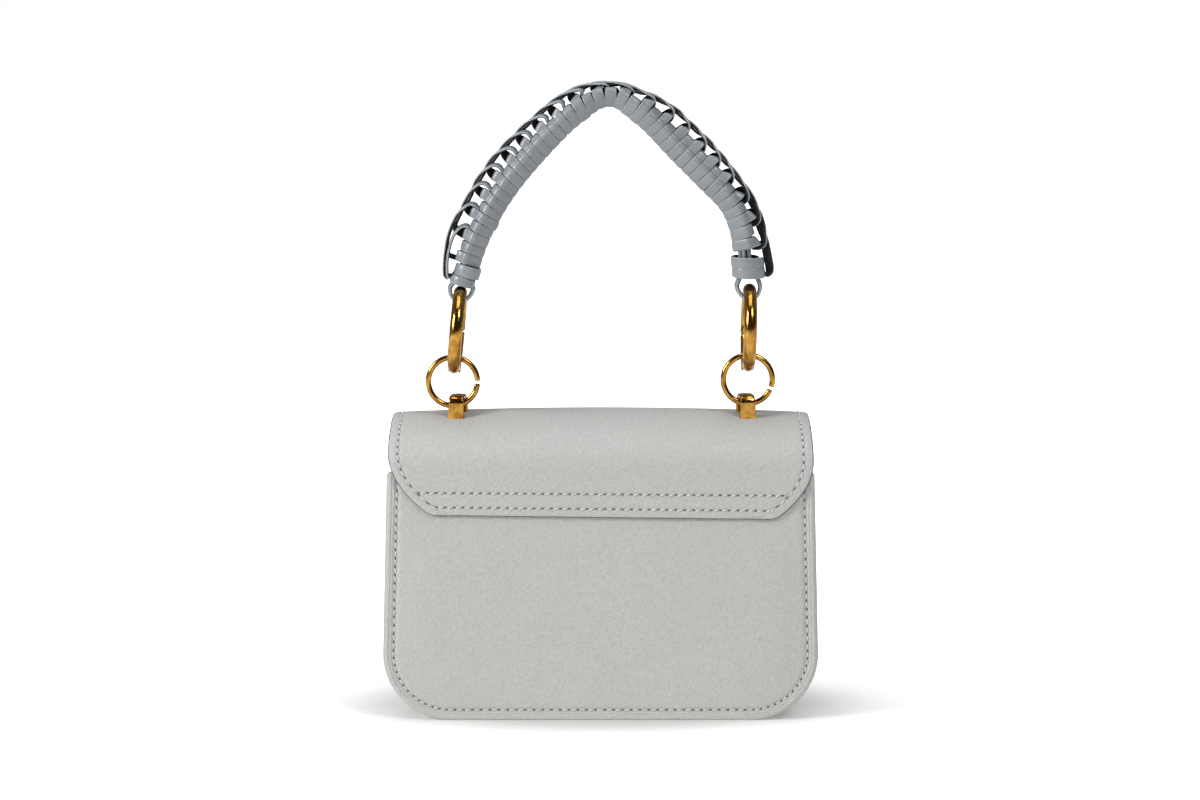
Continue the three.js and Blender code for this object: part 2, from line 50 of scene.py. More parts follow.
# Insets of the panel's rings, and shares by which the rings inside the last one shrink.
PANEL_INSETS = np.array((
    0, 0.03, 0.1, 0.22, 0.4, 0.65, 0.95, 1.3, 1.7, 2.1, 2.35, 2.55, 2.75, 2.95, 3.2, 3.6, 4.0, 4.35, 4.7, 5.05, 5.4,
    5.8, 6.3, 7.0, 8.0, 9.5, 12, 15, 19, 24))
PANEL_SHRINKS = np.array((0.93, 0.82, 0.68, 0.52, 0.35, 0.18, 0.03))
STITCH = dict(length=1.3, thread=0.4, lift=0.2, dip=0.55, slant=14.0, row_slant=30.0)
GUSSET = dict(thickness=1.5, flange=5.0, inset=0.3, top=110.0, gap=0.3, fold=1.4, sag=1.6)

# Flap: one sheet from the back, over the arched top and down the front.
HALF_DEPTH = 33.3
BODY_HEIGHT = 135.7
FLAP = dict(half=93.7, thickness=2.0, back_edge=91.5, front_edge=40.0, arch_rise=22.0, crown_waist=0.7,
            crown_bow=2.2, front_corner=30.0, edge_slope=-0.012, slope_drop=32.0, rim=0.75)
# Back corners of the flap, left and right: inset at the edge, how far up it reaches, its power, and the rounding.
FLAP_CUTS = (
    dict(inset=18.6, drop=32.5, power=2.35, round_inset=2.6, round_drop=1.6),
    dict(inset=16.6, drop=26.5, power=2.2, round_inset=2.6, round_drop=1.6),
)
# Thinning of the flap: at its back, and along its edges over a short reach.
FLAP_SKIVE = dict(back=0.55, back_from=32.0, back_to=8.0, edge=0.4, edge_reach=4.4)
FLAP_SEAM = dict(side=4.4, rows=(4.0, 10.6), valley=0.35, spread=0.8, pitch=3.9)

# Chain: x of the bracket, centre of the wire ring and where it is split, x where the gate ring hangs, its lean, and
# how far the loop's legs leave the cuff to the left and to the right.
SIDES = (
    dict(name="left", bracket_x=-63.5, ring_x=-65.7, ring_z=148.8, split_at=-2.0, hang_x=-64.8, lean=5.0, inward=1,
         legs=(3.9, 3.0)),
    dict(name="right", bracket_x=64.7, ring_x=65.5, ring_z=149.7, split_at=-21.0, hang_x=65.5, lean=1.0, inward=-1,
         legs=(2.6, 4.9)),
)
CHAIN_Y = -7.5
GAP = 0.3
WIRE_RING = dict(outer=12.2, wire=1.3, split=7.0)
GATE_RING = dict(radius=16.8, tube=2.9)
GATE = dict(hinge=-80.0, tip=-14.0, pin=0.9, knuckle=2.9, tongue=0.8, tongue_radius=2.5, slant=0.55, wedge=17.0)
BRACKET = dict(half_span=5.9, leg=2.0, rise=2.0, corner=3.2, top_width=6.4, foot_width=8.0, tab=3.0, tab_top=129.0,
               toe_in=8.0)

# Handle: middle line of the wound core, x and z.
HANDLE_LINE = (
    (-60.6, 193.2), (-57.1, 204.8), (-52.8, 215.6), (-45.6, 228.7), (-36.6, 241.2), (-18.4, 261.2), (-7.0, 271.3),
    (5.0, 275.0), (16.4, 269.2), (35.6, 250.0), (47.3, 238.3), (57.5, 227.5), (62.2, 216.5), (63.7, 206.0),
    (64.2, 195.6),
)
# Height of the spine's strips above that line, at distances along the handle.
SPINE = (
    (-2.0, 8.4), (6.3, 9.9), (11.2, 11.3), (16.0, 12.5), (21.0, 13.0), (26.0, 12.8), (33.0, 12.4), (41.0, 12.9),
    (54.0, 13.1), (66.0, 12.5), (77.0, 11.5), (86.0, 10.8), (92.0, 9.5), (100.0, 7.8), (108.0, 6.0), (112.6, 6.7),
    (116.0, 7.0), (120.0, 8.0), (126.0, 10.0), (130.0, 11.0), (135.0, 12.1), (144.0, 12.5), (154.0, 12.8),
    (163.5, 12.1), (172.0, 11.1), (181.0, 9.7), (186.0, 9.4), (197.0, 9.4), (206.0, 10.4), (214.0, 11.2),
)
LACE = dict(width=4.5, thickness=1.2, bevel=0.36)
CORE = dict(strands=6, first=20.0, ring=2.15, width=2.1, thickness=1.7, bevel=0.6)
LOOP = dict(width=4.2, thickness=1.5, belly=5.2, belly_rise=1.6, depth=5.0)
# Turns of the cuffs: distances along the handle, radii, lifts outwards, widths, and the tilt outwards and back.
CUFFS = (
    dict(middles=(5.1, 0.3), radii=(5.2, 5.0), lifts=(-0.3, 0.7), widths=(5.3, 4.0), tilt=(0.0, 0.0)),
    dict(middles=(207.0, 211.6), radii=(6.7, 6.7), lifts=(1.0, 1.3), widths=(4.7, 4.7), tilt=(0.06, -0.04)),
)

# Wound turns: distances along the handle of the lines between them, and how high each one stands at the spine.
TURN_EDGES = (
    7.9, 12.9, 17.5, 22.6, 27.1, 31.5, 35.7, 40.3, 44.7, 49.4, 54.3, 58.7, 63.4, 68.0, 72.6, 77.8, 82.2, 86.6, 91.5,
    96.6, 101.0, 106.0, 111.1, 116.0, 121.1, 126.0, 131.0, 135.1, 139.7, 144.5, 149.2, 153.8, 158.3, 163.2, 167.9,
    172.3, 177.0, 181.8, 186.3, 191.4, 196.8, 201.7,
)
TURN_TOPS = (
    6.6, 6.0, 7.0, 5.6, 8.2, 6.0, 8.4, 5.4, 8.4, 6.0, 8.2, 6.0, 8.2, 5.9, 7.8, 5.3, 6.8, 4.7, 5.7, 4.2, 5.1, 4.2, 5.9,
    4.2, 7.2, 6.2, 8.4, 6.0, 9.7, 8.4, 10.0, 7.6, 9.8, 7.4, 8.8, 6.0, 6.7, 5.2, 7.1, 5.2, 6.6,
)
# Reach of the turns on the inner side, and how far they slope along for each step outwards.
TURN_INNER = ((0.0, 5.1), (26.0, 5.1), (29.0, 5.7), (32.0, 5.1), (86.0, 5.1), (94.0, 5.8), (102.0, 4.6), (112.0, 4.6),
              (122.0, 5.6), (130.0, 5.2), (214.0, 5.2))
TURN_SLOPE = ((0.0, 0.05), (26.0, 0.05), (34.0, 0.1), (38.0, 0.13), (60.0, 0.11), (90.0, 0.1), (110.0, 0.0),
              (175.0, 0.0), (188.0, -0.15), (214.0, -0.15))
# Gap between turns, how far the ends run on, where a turn steps on to the next, heights over which it takes the
# raised section, height of the round, and lean of a plain turn.
TURN = dict(gap=0.12, spare=0.35, step=(0.56, 0.98), raised=(5.2, 6.4), round=4.1, plain_lean=0.08)
# Lean of every second turn to its hook.
TURN_LEAN = ((0.0, 0.15), (60.0, 0.2), (100.0, 0.35), (120.0, 0.6), (214.0, 0.6))
# Height of the wound core under the spine.
WOUND = 4.6
# Section of the turns, with a ridge in front that lies nearer to the spine. Columns: share of the way round, from the
# inner side by the front; part of the inner reach; distance out; then for a plain turn and for one that is drawn out
# to the spine, each: part of the height over the round, and distance back.
TURN_SECTION = (
    (-0.07, 0.92, 0.00, 0.00, 2.60, 0.00, 2.60),
    (0.00, 1.00, 0.00, 0.00, 1.20, 0.00, 1.20),
    (0.07, 0.93, 0.00, 0.00, -0.40, 0.00, -0.40),
    (0.14, 0.58, 0.00, 0.00, -1.90, 0.00, -1.90),
    (0.20, 0.00, 0.20, 0.00, -3.55, 0.00, -3.55),
    (0.245, 0.00, 2.10, 0.00, -4.55, 0.00, -4.55),
    (0.285, 0.00, 3.10, 0.00, -3.95, 0.00, -3.95),
    (0.35, 0.00, 3.90, 0.30, -2.70, 0.04, -3.00),
    (0.42, 0.00, 4.10, 0.80, -1.40, 0.38, -2.55),
    (0.465, 0.00, 4.10, 0.95, -0.60, 0.84, -2.15),
    (0.50, 0.00, 4.10, 1.00, 0.20, 1.00, -1.30),
    (0.54, 0.00, 4.00, 0.92, 1.10, 0.92, -0.20),
    (0.61, 0.00, 3.50, 0.60, 2.60, 0.40, 1.70),
    (0.69, 0.00, 2.20, 0.15, 3.80, 0.10, 3.40),
    (0.77, 0.10, 0.20, 0.00, 4.40, 0.00, 4.40),
    (0.86, 0.62, 0.00, 0.00, 3.90, 0.00, 3.90),
    (0.93, 0.92, 0.00, 0.00, 2.60, 0.00, 2.60),
    (1.00, 1.00, 0.00, 0.00, 1.20, 0.00, 1.20),
    (1.07, 0.93, 0.00, 0.00, -0.40, 0.00, -0.40),
)

# Distances at which the arches hook in between the turns, and their usual spacing.
HOOKS = (23.6, 32.7, 42.6, 51.6, 61.0, 70.4, 80.5, 90.0, 98.3, 106.9, 115.0, 124.8, 134.0, 143.2, 154.0, 163.2, 172.6,
         181.5, 190.9, 200.2)
HOOK_SPACING = 9.3
# The arches change from their left to their right form, and the spine rolls over, between these distances.
FORM_CHANGE = (99.0, 114.0)
SPINE_ROLL = dict(start=172.0, full=192.0, amount=-0.6)

# A strap that rises to the spine behind a turn. Columns: distance along from its turn; share of the height to the
# spine; distance back; the lace's width direction along the handle, outwards and back.
STRAP = (
    (0.0, -0.15, 2.4, 1.0, 0.0, 0.0),
    (0.0, 0.08, 2.9, 1.0, 0.0, 0.0),
    (0.0, 0.28, 2.9, 1.0, 0.0, 0.1),
    (0.1, 0.48, 2.8, 0.92, 0.0, 0.35),
    (0.3, 0.66, 2.7, 0.75, -0.15, 0.65),
    (0.7, 0.80, 2.7, 0.45, -0.3, 0.85),
    (1.5, 0.90, 2.7, 0.15, -0.35, 0.93),
)
# The run along the spine, first under the arch before. Columns: place in hook spacings from its hook; distance
# under the spine; the rest as above.
RUN = (
    (-1.95, 1.2, 2.8, 0.0, -0.16, 0.98),
    (-1.70, 1.1, 2.8, 0.0, -0.16, 0.98),
    (-1.50, 0.7, 2.6, 0.0, -0.16, 0.98),
    (-1.32, 0.2, 2.4, 0.0, -0.16, 0.98),
    (-1.10, 0.0, 2.0, 0.0, -0.16, 0.98),
)
# The arch from the spine down to its hook, on the left and on the right half. Columns: place in hook spacings;
# share of the spine's height above the turns; the rest as above.
ARCH_LEFT = (
    (-0.90, 1.00, 1.5, 0.0, -0.16, 0.98),
    (-0.70, 0.99, 0.8, 0.0, -0.1, 0.99),
    (-0.50, 0.94, 0.1, 0.0, 0.0, 1.0),
    (-0.30, 0.86, -0.4, 0.0, 0.1, 0.99),
    (-0.15, 0.78, -0.6, 0.05, 0.15, 0.98),
    (-0.04, 0.66, -0.7, 0.15, 0.1, 0.97),
    (0.01, 0.51, -0.7, 0.25, 0.05, 0.96),
    (0.01, 0.36, -0.5, 0.25, 0.0, 0.96),
    (-0.03, 0.20, 0.0, 0.2, 0.0, 0.97),
    (-0.07, 0.04, 0.6, 0.0, 0.0, 1.0),
    (-0.12, -0.14, 1.6, 0.0, 0.0, 1.0),
)
ARCH_RIGHT = (
    (-0.80, 1.00, 1.5, 0.0, -0.16, 0.98),
    (-0.65, 0.99, 1.0, 0.0, -0.1, 0.99),
    (-0.50, 0.97, 0.5, 0.0, 0.0, 1.0),
    (-0.34, 0.94, 0.0, 0.0, 0.06, 1.0),
    (-0.20, 0.90, -0.4, 0.0, 0.08, 0.99),
    (-0.09, 0.83, -0.4, 0.0, 0.06, 0.99),
    (-0.01, 0.71, -0.2, -0.1, 0.0, 0.99),
    (0.03, 0.53, 0.2, -0.5, 0.0, 0.85),
    (0.03, 0.30, 0.7, -0.7, 0.0, 0.7),
    (0.03, 0.06, 1.2, -0.5, 0.0, 0.85),
    (0.05, -0.14, 1.8, 0.0, 0.0, 1.0),
)
# Ends of the spine: a strap behind the first turn, the first arch and the strip above it out of the left cuff, and
# the strip into the right cuff. Columns: distance along; distance out; distance back; width direction along,
# outwards and back.
FIRST_STRAP = (
    (9.2, 4.0, 2.4, 1.0, 0.0, 0.1),
    (9.2, 6.0, 2.5, 1.0, 0.0, 0.1),
    (9.2, 7.6, 2.4, 1.0, 0.0, 0.2),
    (9.3, 9.2, 2.2, 0.9, 0.0, 0.4),
    (9.8, 10.4, 2.0, 0.6, -0.1, 0.7),
)
FIRST_ARCH = (
    (3.4, 5.0, -0.6, 0.2, 0.0, 1.0),
    (1.0, 6.0, -0.7, 0.2, 0.0, 1.0),
    (0.3, 7.0, -0.8, 0.0, 0.0, 1.0),
    (1.4, 7.9, -0.8, 0.0, 0.05, 1.0),
    (4.0, 8.8, -0.8, 0.0, 0.1, 0.99),
    (7.5, 9.7, -0.7, 0.0, 0.1, 0.99),
    (11.2, 10.3, -0.6, 0.0, 0.1, 0.99),
    (15.0, 10.6, -0.6, 0.0, 0.1, 0.99),
    (18.0, 10.5, -0.6, 0.0, 0.1, 0.99),
    (20.4, 9.9, -0.7, 0.05, 0.15, 0.98),
    (22.1, 9.0, -0.8, 0.15, 0.1, 0.97),
    (23.2, 7.8, -0.8, 0.25, 0.05, 0.96),
    (23.5, 6.5, -0.6, 0.25, 0.0, 0.96),
    (23.2, 5.4, -0.2, 0.2, 0.0, 0.97),
    (22.8, 4.2, 0.6, 0.0, 0.0, 1.0),
    (22.3, 3.2, 1.6, 0.0, 0.0, 1.0),
)
LEFT_STRIP = (
    (2.0, 6.4, 1.6, 0.2, 0.0, 1.0),
    (0.0, 7.2, 1.4, 0.2, 0.0, 1.0),
    (-0.6, 8.0, 1.4, 0.0, 0.0, 1.0),
    (0.4, 8.9, 1.4, 0.0, -0.2, 1.0),
    (3.0, 9.9, 1.4, 0.0, -0.16, 0.98),
    (6.3, 10.7, 1.4, 0.0, -0.18, 0.98),
    (11.2, 11.7, 1.4, 0.0, -0.18, 0.98),
    (16.0, 12.6, 1.4, 0.0, -0.18, 0.98),
    (20.5, 12.9, 1.5, 0.0, -0.18, 0.98),
)
RIGHT_STRIP = (
    (203.0, 9.8, 0.8, 0.0, -0.8, 0.6),
    (206.5, 10.3, 0.5, 0.0, -0.8, 0.6),
    (210.0, 10.8, 0.2, 0.0, -0.75, 0.65),
    (212.3, 10.6, 0.0, 0.0, -0.6, 0.8),
    (213.2, 9.6, -0.1, -0.3, -0.3, 0.9),
    (212.6, 8.2, -0.1, -0.3, 0.0, 0.95),
    (210.6, 6.9, -0.1, -0.2, 0.0, 1.0),
)


# Colours and gloss
LEATHER_COLOUR = (0.568, 0.572, 0.556)
LEATHER_SHADE = (0.552, 0.556, 0.541)
PIT_COLOUR = (0.478, 0.482, 0.468)
# Edge paint of the panels; the same colour is also used as painted shade along the stitched seam lines.
EDGE_PAINT_AND_SEAM_SHADE_COLOUR = (0.44, 0.445, 0.43)
# Painted shadow: a near-black line along the flap's edge stands for the shadow the flap casts on the panel.
FLAP_EDGE_SHADOW_COLOUR = (0.1, 0.095, 0.092)
# Needle holes painted near black, standing for the shade inside them.
NEEDLE_HOLE_SHADE_COLOUR = (0.03, 0.03, 0.03)
LACE_COLOUR = (0.23, 0.252, 0.272)
LACE_LIGHT = (0.292, 0.318, 0.341)
# Painted highlight: paler colour along the lace's bevelled edges, where they catch the light.
LACE_EDGE_HIGHLIGHT = (0.33, 0.356, 0.378)
# Near-black underside of the lace: its dark flesh side, and painted shade where the strips' undersides lie in shadow.
LACE_FLESH_AND_SHADE = (0.024, 0.022, 0.023)
LACE_POLISH = 0.5
BRASS_COLOUR = (0.63, 0.34, 0.07)
BRASS_SHADE = (0.36, 0.17, 0.03)
THREAD_COLOUR = (0.74, 0.74, 0.72)
THREAD_SHADE = (0.52, 0.525, 0.51)
STEEL_COLOUR = (0.45, 0.46, 0.47)
STEEL_SHADE = (0.33, 0.34, 0.35)

# Stage, in metres and watts
FLOOR_COLOUR = (0.71, 0.7, 0.69, 1)
FLOOR_REACH = 6.0
FLOOR_BOUNCE = 0.4
# Glow of the floor beyond the bag's foot: where it starts, where it is full, and how strong.
FLOOR_GLOWS = ((0.09, 0.19, 0.55), (0.17, 0.42, 0.9))
FLOOR_OVAL = (1.35, 2.7, 1.0)
STUDIO_DARK = (0.02, 0.02, 0.021)
STUDIO_LIGHT = (0.2, 0.2, 0.205)
LIGHTS = (
    dict(name="left_light", place=(-1.7, -0.85, 1.0), target=(0, 0, 0.14), size=(0.5, 0.8), power=30),
    dict(name="top_light", place=(0.0, -0.1, 1.9), target=(0, 0, 0.1), size=(1.2, 1.2), power=12),
    dict(name="right_light", place=(1.0, -1.2, 1.6), target=(0, 0, 0.14), size=(0.6, 0.6), power=13.5),
)
IMAGE_SIZE = (1200, 800)
CAMERA = dict(place=(-0.00027, -1.43589, 0.3412), tilt=82.0, focal_px=3239.12, sensor=36.0)


# Meshes

def grid_quads(rows, cols, wrap_rows=False, wrap_cols=False):
    """Quads of a grid of points stored row by row; a wrapped direction runs back to its start.

    Also gives each corner's row and column before wrapping, for maps that must not jump at the seam.
    """
    row, col = np.meshgrid(np.arange(rows if wrap_rows else rows - 1), np.arange(cols if wrap_cols else cols - 1),
                           indexing="ij")
    corner_rows = np.stack([row, row, row + 1, row + 1], -1).reshape(-1, 4)
    corner_cols = np.stack([col, col + 1, col + 1, col], -1).reshape(-1, 4)
    return (corner_rows % rows) * cols + corner_cols % cols, corner_rows, corner_cols


def unit(vectors):
    """Vectors scaled to length one."""
    return vectors / np.maximum(np.linalg.norm(vectors, axis=-1, keepdims=True), 1e-9)


def smoothstep(low, high, value):
    """Zero below low, one above high and a smooth rise between."""
    share = np.clip((value - low) / (high - low), 0, 1)
    return share * share * (3 - 2 * share)


def end_caps(rows, cols):
    """Closing faces of a tube stored row by row, on its first and its last row."""
    return [list(range(cols))[::-1], list(range((rows - 1) * cols, rows * cols))]


def sheet_ends(rows, cols):
    """Closing quads of a sheet whose rows run over one face and back on the other, at its first and last row."""
    place = np.arange(cols // 2 - 1)
    first = np.stack([place, place + 1, cols - 2 - place, cols - 1 - place], -1)
    return np.vstack([first[:, ::-1], first + (rows - 1) * cols])


def rim_drop(radius, distance):
    """Drop of a quarter-circle rim at a distance from the edge."""
    return radius - np.sqrt(np.maximum(radius ** 2 - np.maximum(radius - distance, 0) ** 2, 0))


def bell(distance, line, spread):
    """Bell curve of height one about a line."""
    return np.exp(-((distance - line) / spread) ** 2)


def add_piece(name, points, faces, material, nodes=(), maps=None, caps=(), cap_pair=(0.0, 0.0), body="bag"):
    """Mesh object in metres from points in millimetres, quads and end caps, in place of the named solids.

    Maps hold a pair for each corner of the quads; the caps take one pair throughout.
    """
    mesh = bpy.data.meshes.new(name)
    mesh.from_pydata((np.asarray(points).reshape(-1, 3) * MM).tolist(), [], faces.tolist() + [list(c) for c in caps])
    for map_name, pairs in (maps or {}).items():
        layer = mesh.uv_layers.new(name=map_name)
        values = np.tile(cap_pair, (len(mesh.loops), 1))
        values[: pairs.reshape(-1, 2).shape[0]] = pairs.reshape(-1, 2)
        layer.data.foreach_set("uv", values.ravel().astype(np.float32))
    mesh.polygons.foreach_set("use_smooth", np.ones(len(mesh.polygons), bool))
    mesh.materials.append(material)
    mesh.update()
    piece = bpy.data.objects.new(name, mesh)
    bpy.context.scene.collection.objects.link(piece)
    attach(piece, body)
    if nodes:
        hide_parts(*nodes)
    return piece


def join_parts(parts):
    """Stacks several (points, quads, caps) into one, shifting the indices."""
    points, quads, caps, start = [], [], [], 0
    for part_points, part_quads, part_caps in parts:
        flat = np.asarray(part_points).reshape(-1, 3)
        points.append(flat)
        quads.append(part_quads + start)
        caps.extend([[i + start for i in cap] for cap in part_caps])
        start += len(flat)
    return np.vstack(points), np.vstack(quads), caps


def smooth_line(keys, steps, measured):
    """Centripetal Catmull-Rom line through the keys, with a number of samples to each span.

    The spacing of the knots is the square root of the distance in the first `measured` columns; each span
    blends three straight runs into two and then into one.
    """
    keys = np.asarray(keys, float)
    keys = np.vstack([2 * keys[0] - keys[1], keys, 2 * keys[-1] - keys[-2]])
    step = np.sqrt(np.maximum(np.linalg.norm(np.diff(keys[:, :measured], axis=0), axis=1), 1e-6))
    knots = np.concatenate([[0], np.cumsum(step)])
    k = [keys[i: len(keys) - 3 + i, None, :] for i in range(4)]
    t = [knots[i: len(knots) - 3 + i, None, None] for i in range(4)]
    at = t[1] + (t[2] - t[1]) * np.linspace(0, 1, steps, endpoint=False)[None, :, None]

    def blend(a, b, low, high):
        return a + (b - a) * (at - low) / (high - low)

    first = [blend(k[i], k[i + 1], t[i], t[i + 1]) for i in range(3)]
    second = [blend(first[i], first[i + 1], t[i], t[i + 2]) for i in range(2)]
    line = blend(second[0], second[1], t[1], t[2]).reshape(-1, keys.shape[1])
    return np.vstack([line, keys[-2]])


def arc_lengths(points):
    """Distance along a line of points, from its start."""
    return np.concatenate([[0], np.cumsum(np.linalg.norm(np.diff(points, axis=0), axis=1))])


# Materials

def add_node(tree, kind, values=None, **settings):
    """Shader node with its settings and its unlinked input values."""
    made = tree.nodes.new(kind)
    for key, value in settings.items():
        setattr(made, key, value)
    for key, value in (values or {}).items():
        made.inputs[key].default_value = value
    return made


def wire(tree, source, target):
    """Link from an output to an input."""
    tree.links.new(source, target)


def mix_colours(tree, factor, first, second):
    """Mix of two colours by a factor; each is a socket or a plain colour."""
    made = add_node(tree, "ShaderNodeMix", data_type="RGBA")
    wire(tree, factor, made.inputs["Factor"])
    for name, value in (("A", first), ("B", second)):
        socket = [s for s in made.inputs if s.name == name and s.type == "RGBA"][0]
        if isinstance(value, bpy.types.NodeSocket):
            wire(tree, value, socket)
        else:
            socket.default_value = (*value, 1)
    return [s for s in made.outputs if s.type == "RGBA"][0]


def math_node(tree, operation, *values, clamp=False):
    """Math node on sockets or numbers."""
    made = add_node(tree, "ShaderNodeMath", operation=operation, use_clamp=clamp)
    for i, value in enumerate(values):
        if isinstance(value, bpy.types.NodeSocket):
            wire(tree, value, made.inputs[i])
        else:
            made.inputs[i].default_value = value
    return made.outputs[0]


def ramp(tree, value, low, high):
    """Value carried from low to high onto nought to one, smoothly and clamped."""
    made = add_node(tree, "ShaderNodeMapRange", {"From Min": low, "From Max": high}, interpolation_type="SMOOTHSTEP")
    wire(tree, value, made.inputs["Value"])
    return made.outputs["Result"]


def object_place(tree):
    """Place in the object's own frame."""
    return add_node(tree, "ShaderNodeTexCoord").outputs["Object"]


def noise(tree, place, scale, detail, roughness=0.5):
    """Noise node read at a place."""
    made = add_node(tree, "ShaderNodeTexNoise", {"Scale": scale, "Detail": detail, "Roughness": roughness})
    wire(tree, place, made.inputs["Vector"])
    return made


def map_parts(tree, source):
    """Node that splits a map or a vector into its parts."""
    made = add_node(tree, "ShaderNodeSeparateXYZ")
    wire(tree, source, made.inputs[0])
    return made


def add_bump(tree, shader, height, strength):
    """Bump of a height in metres on the shader's normal."""
    made = add_node(tree, "ShaderNodeBump", {"Strength": strength, "Distance": 1.0})
    wire(tree, height, made.inputs["Height"])
    wire(tree, made.outputs["Normal"], shader.inputs["Normal"])


def new_group(name, inputs, outputs):
    """Empty shader group with named sockets: (name, socket type, starting value)."""
    tree = bpy.data.node_groups.new(name, "ShaderNodeTree")
    for socket, kind, value in inputs:
        made = tree.interface.new_socket(socket, in_out="INPUT", socket_type=kind)
        if value is not None:
            made.default_value = value
    for socket, kind in outputs:
        tree.interface.new_socket(socket, in_out="OUTPUT", socket_type=kind)
    return tree, tree.nodes.new("NodeGroupInput"), tree.nodes.new("NodeGroupOutput")


def pebble_grain_group():
    """Pebbled leather: rounded cells drawn out on a slant, finer wrinkles between and a slow change of tone."""
    tree, ins, outs = new_group(
        "pebble_grain",
        [("Place", "NodeSocketVector", None), ("Cells", "NodeSocketFloat", 1.0)],
        [("Height", "NodeSocketFloat"), ("Tone", "NodeSocketFloat")])
    cells = add_node(tree, "ShaderNodeTexVoronoi", {"Smoothness": 0.5}, feature="SMOOTH_F1")
    moved = add_node(tree, "ShaderNodeVectorMath", {1: (0.0009, 0.0009, 0.0009)}, operation="MULTIPLY_ADD")
    slanted = add_node(tree, "ShaderNodeMapping", {"Rotation": (0.0, np.radians(48), 0.0), "Scale": (1.0, 1.0, 2.0)},
                       vector_type="TEXTURE")
    wire(tree, ins.outputs["Place"], slanted.inputs["Vector"])
    place = slanted.outputs["Vector"]
    warp = noise(tree, place, 900.0, 2.0)
    fine = noise(tree, place, 2600.0, 3.0, 0.65)
    slow = noise(tree, place, 34.0, 3.0, 0.55)
    wire(tree, warp.outputs["Color"], moved.inputs[0])
    wire(tree, place, moved.inputs[2])
    wire(tree, moved.outputs["Vector"], cells.inputs["Vector"])
    wire(tree, ins.outputs["Cells"], cells.inputs["Scale"])
    dome = math_node(tree, "SUBTRACT", 1.0, cells.outputs["Distance"])
    wire(tree, math_node(tree, "MULTIPLY_ADD", fine.outputs["Fac"], 0.45, dome), outs.inputs["Height"])
    wire(tree, slow.outputs["Fac"], outs.inputs["Tone"])
    return tree


def needle_hole_group():
    """Round marks halfway between stitches: near whole-and-a-half places along a seam and close to its line."""
    tree, ins, outs = new_group(
        "needle_holes",
        [("Seam", "NodeSocketVector", None), ("Line", "NodeSocketFloat", 4.0), ("Pitch", "NodeSocketFloat", 3.9)],
        [("Hole", "NodeSocketFloat"), ("SeamShade", "NodeSocketFloat")])
    split = map_parts(tree, ins.outputs["Seam"])
    fraction = math_node(tree, "FRACT", split.outputs["X"])
    along = math_node(tree, "MULTIPLY", math_node(tree, "SUBTRACT", fraction, 0.5), ins.outputs["Pitch"])
    across = math_node(tree, "SUBTRACT", split.outputs["Y"], ins.outputs["Line"])
    narrow = math_node(tree, "MULTIPLY", along, 0.62)
    reach = math_node(tree, "SQRT", math_node(tree, "ADD", math_node(tree, "MULTIPLY", narrow, narrow),
                                              math_node(tree, "MULTIPLY", across, across)))
    wire(tree, ramp(tree, reach, 0.6, 0.25), outs.inputs["Hole"])
    # Band along the seam line, used for the painted shade there.
    wire(tree, ramp(tree, math_node(tree, "ABSOLUTE", across), 1.3, 0.1), outs.inputs["SeamShade"])
    return tree


PEBBLE_GRAIN = pebble_grain_group()
NEEDLE_HOLES = needle_hole_group()


def place_group(tree, group, values, sources):
    """Shader group with its input values and its linked inputs."""
    made = add_node(tree, "ShaderNodeGroup", node_tree=group)
    for key, value in values.items():
        made.inputs[key].default_value = value
    for key, source in sources.items():
        wire(tree, source, made.inputs[key])
    return made


def new_material(name):
    """Material with its Principled shader, and its tree."""
    material = bpy.data.materials.new(name)
    material.use_nodes = True
    tree = material.node_tree
    return material, tree, tree.nodes["Principled BSDF"]


